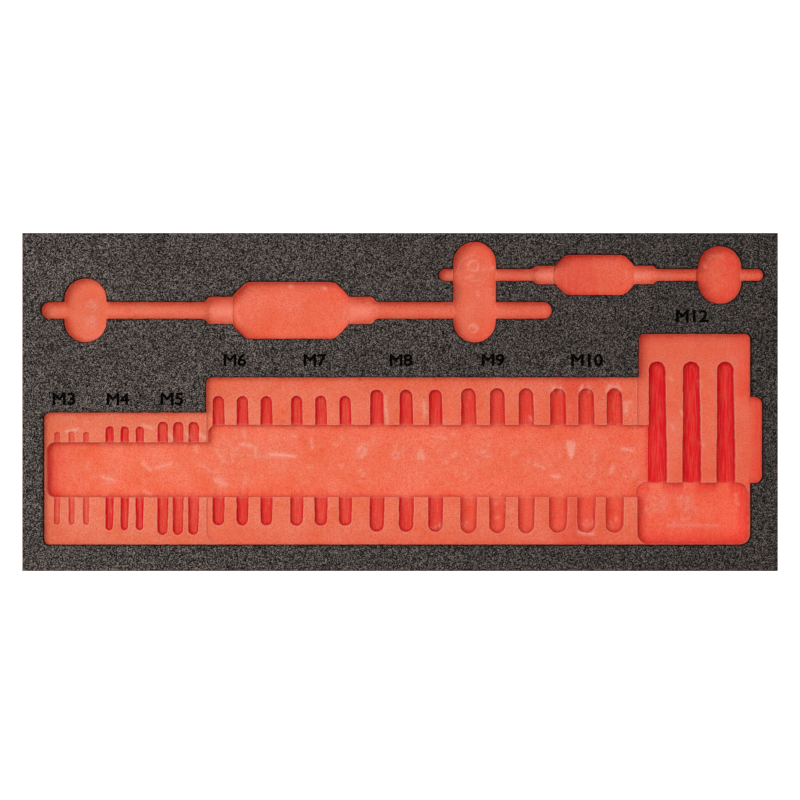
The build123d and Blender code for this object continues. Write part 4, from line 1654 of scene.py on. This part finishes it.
class Inlay:
    """The whole inlay: both pieces, dressed and riding on the frame's one body."""

    def __init__(self) -> None:
        """Lays out the pockets once for both pieces."""
        self.plan = InlayPlan()
        self.pockets = self.plan.pockets()

    def build(self) -> None:
        """Builds both pieces."""
        face = FaceSheet(self.plan, self.pockets, SizeMarks())
        self.finish("foam_face", face.solid(), [BlackFoam().material(), EngravedFoam().material()],
                    "face_sheet", "black_foam")
        torn = RedFoam(name="torn red polyethylene foam", glow_share=0.0).material()
        core = CoreBlock(self.plan, self.pockets, TornFoam())
        self.finish("foam_core", core.solid(torn), [RedFoam().material(), torn], "core_block", "red_foam")

    def finish(self, name: str, solid: Solid, materials: list[bpy.types.Material], node: str,
               slot: str) -> bpy.types.Object:
        """Turns a solid into a piece of the scene.

        Args:
            name: the piece's name.
            solid: its shape.
            materials: its materials, in the order of the finish numbers.
            node: the frame's node that it stands for.
            slot: the record's material slot, which is not used.

        Returns:
            The piece.
        """
        mesh = solid.mesh(name)
        for material in materials:
            mesh.materials.append(material)
        mesh.shade_smooth()
        mesh.set_sharp_from_angle(angle=CREASE)
        piece = bpy.data.objects.new(name, mesh)
        bpy.context.scene.collection.objects.link(piece)
        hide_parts(node)
        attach(piece, "root")
        LOG.info("%s: %d triangles", name, len(mesh.polygons))
        return piece


# ------------------------------------------------------------------------------------------------------- the studio
@dataclass(frozen=True)
class Studio:
    """A white table under a bright even ceiling, with one soft light from behind on the left, seen from above."""

    camera_height: float = 1.73
    pixels_per_mm: float = 1.8
    middle_row: float = 402.0
    floor_colour: str = "#fbfbfa"
    floor_glow: float = 0.8         # the table top is lit from below as well, so that it stays white
    floor_half: float = 4.0
    floor_drop: float = 0.0002      # how far it lies under the inlay
    ceiling: float = 0.42
    key_watts: float = 24.0
    key_size: float = 1.0
    key_place: tuple[float, float, float] = (-0.38, 0.15, 2.0)

    def build(self, top: float) -> None:
        """Sets the camera, the floor and the lights.

        Args:
            top: height of the inlay's top in millimetres.
        """
        self.place_camera(top)
        self.place_floor()
        self.place_lights()

    def place_camera(self, top: float) -> None:
        """Hangs the camera over the inlay, so that its top has the photograph's scale."""
        camera = bpy.data.cameras.new("camera")
        seen = PHOTO_SIDE / self.pixels_per_mm * MM
        camera.lens = camera.sensor_width * (self.camera_height - top * MM) / seen
        camera.clip_end = 20
        rig = bpy.data.objects.new("camera", camera)
        lift = (self.middle_row - PHOTO_SIDE / 2) / self.pixels_per_mm * MM
        rig.location = (0, lift, self.camera_height)
        bpy.context.scene.collection.objects.link(rig)
        bpy.context.scene.camera = rig

    def place_floor(self) -> None:
        """Lays a matt white table top under the inlay."""
        material, tree, _ = new_material("white laminate")
        surface = add_node(tree, "ShaderNodeBsdfPrincipled", inputs={
            "Base Color": linear(self.floor_colour), "Roughness": 0.9, "Specular IOR Level": 0.1,
            "Emission Color": linear(self.floor_colour), "Emission Strength": self.floor_glow})
        add_node(tree, "ShaderNodeOutputMaterial", inputs={"Surface": surface.outputs["BSDF"]})
        mesh = bpy.data.meshes.new("floor")
        side, down = self.floor_half, -self.floor_drop
        corners = [(-side, -side, down), (side, -side, down), (side, side, down), (-side, side, down)]
        mesh.from_pydata(corners, [], [(0, 1, 2, 3)])
        mesh.materials.append(material)
        floor = bpy.data.objects.new("floor", mesh)
        bpy.context.scene.collection.objects.link(floor)

    def place_lights(self) -> None:
        """Lights the scene evenly from all around, and a little more from behind on the left."""
        world = bpy.data.worlds.new("ceiling")
        world.use_nodes = True
        background = world.node_tree.nodes["Background"]
        background.inputs["Color"].default_value = (1, 1, 1, 1)
        background.inputs["Strength"].default_value = self.ceiling
        bpy.context.scene.world = world
        lamp = bpy.data.lights.new("soft_light", "AREA")
        lamp.shape = "DISK"
        lamp.size = self.key_size
        lamp.energy = self.key_watts
        rig = bpy.data.objects.new("soft_light", lamp)
        rig.location = self.key_place
        rig.rotation_euler = Vector(rig.location).to_track_quat("Z", "Y").to_euler()
        bpy.context.scene.collection.objects.link(rig)


def main() -> None:
    """Builds the studio and the inlay."""
    logging.basicConfig(level=logging.INFO, format="%(message)s")
    bpy.context.scene.view_settings.view_transform = "Standard"
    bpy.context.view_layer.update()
    inlay = Inlay()
    Studio().build(inlay.plan.top)
    inlay.build()
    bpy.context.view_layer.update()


if __name__ == "__main__":
    main()
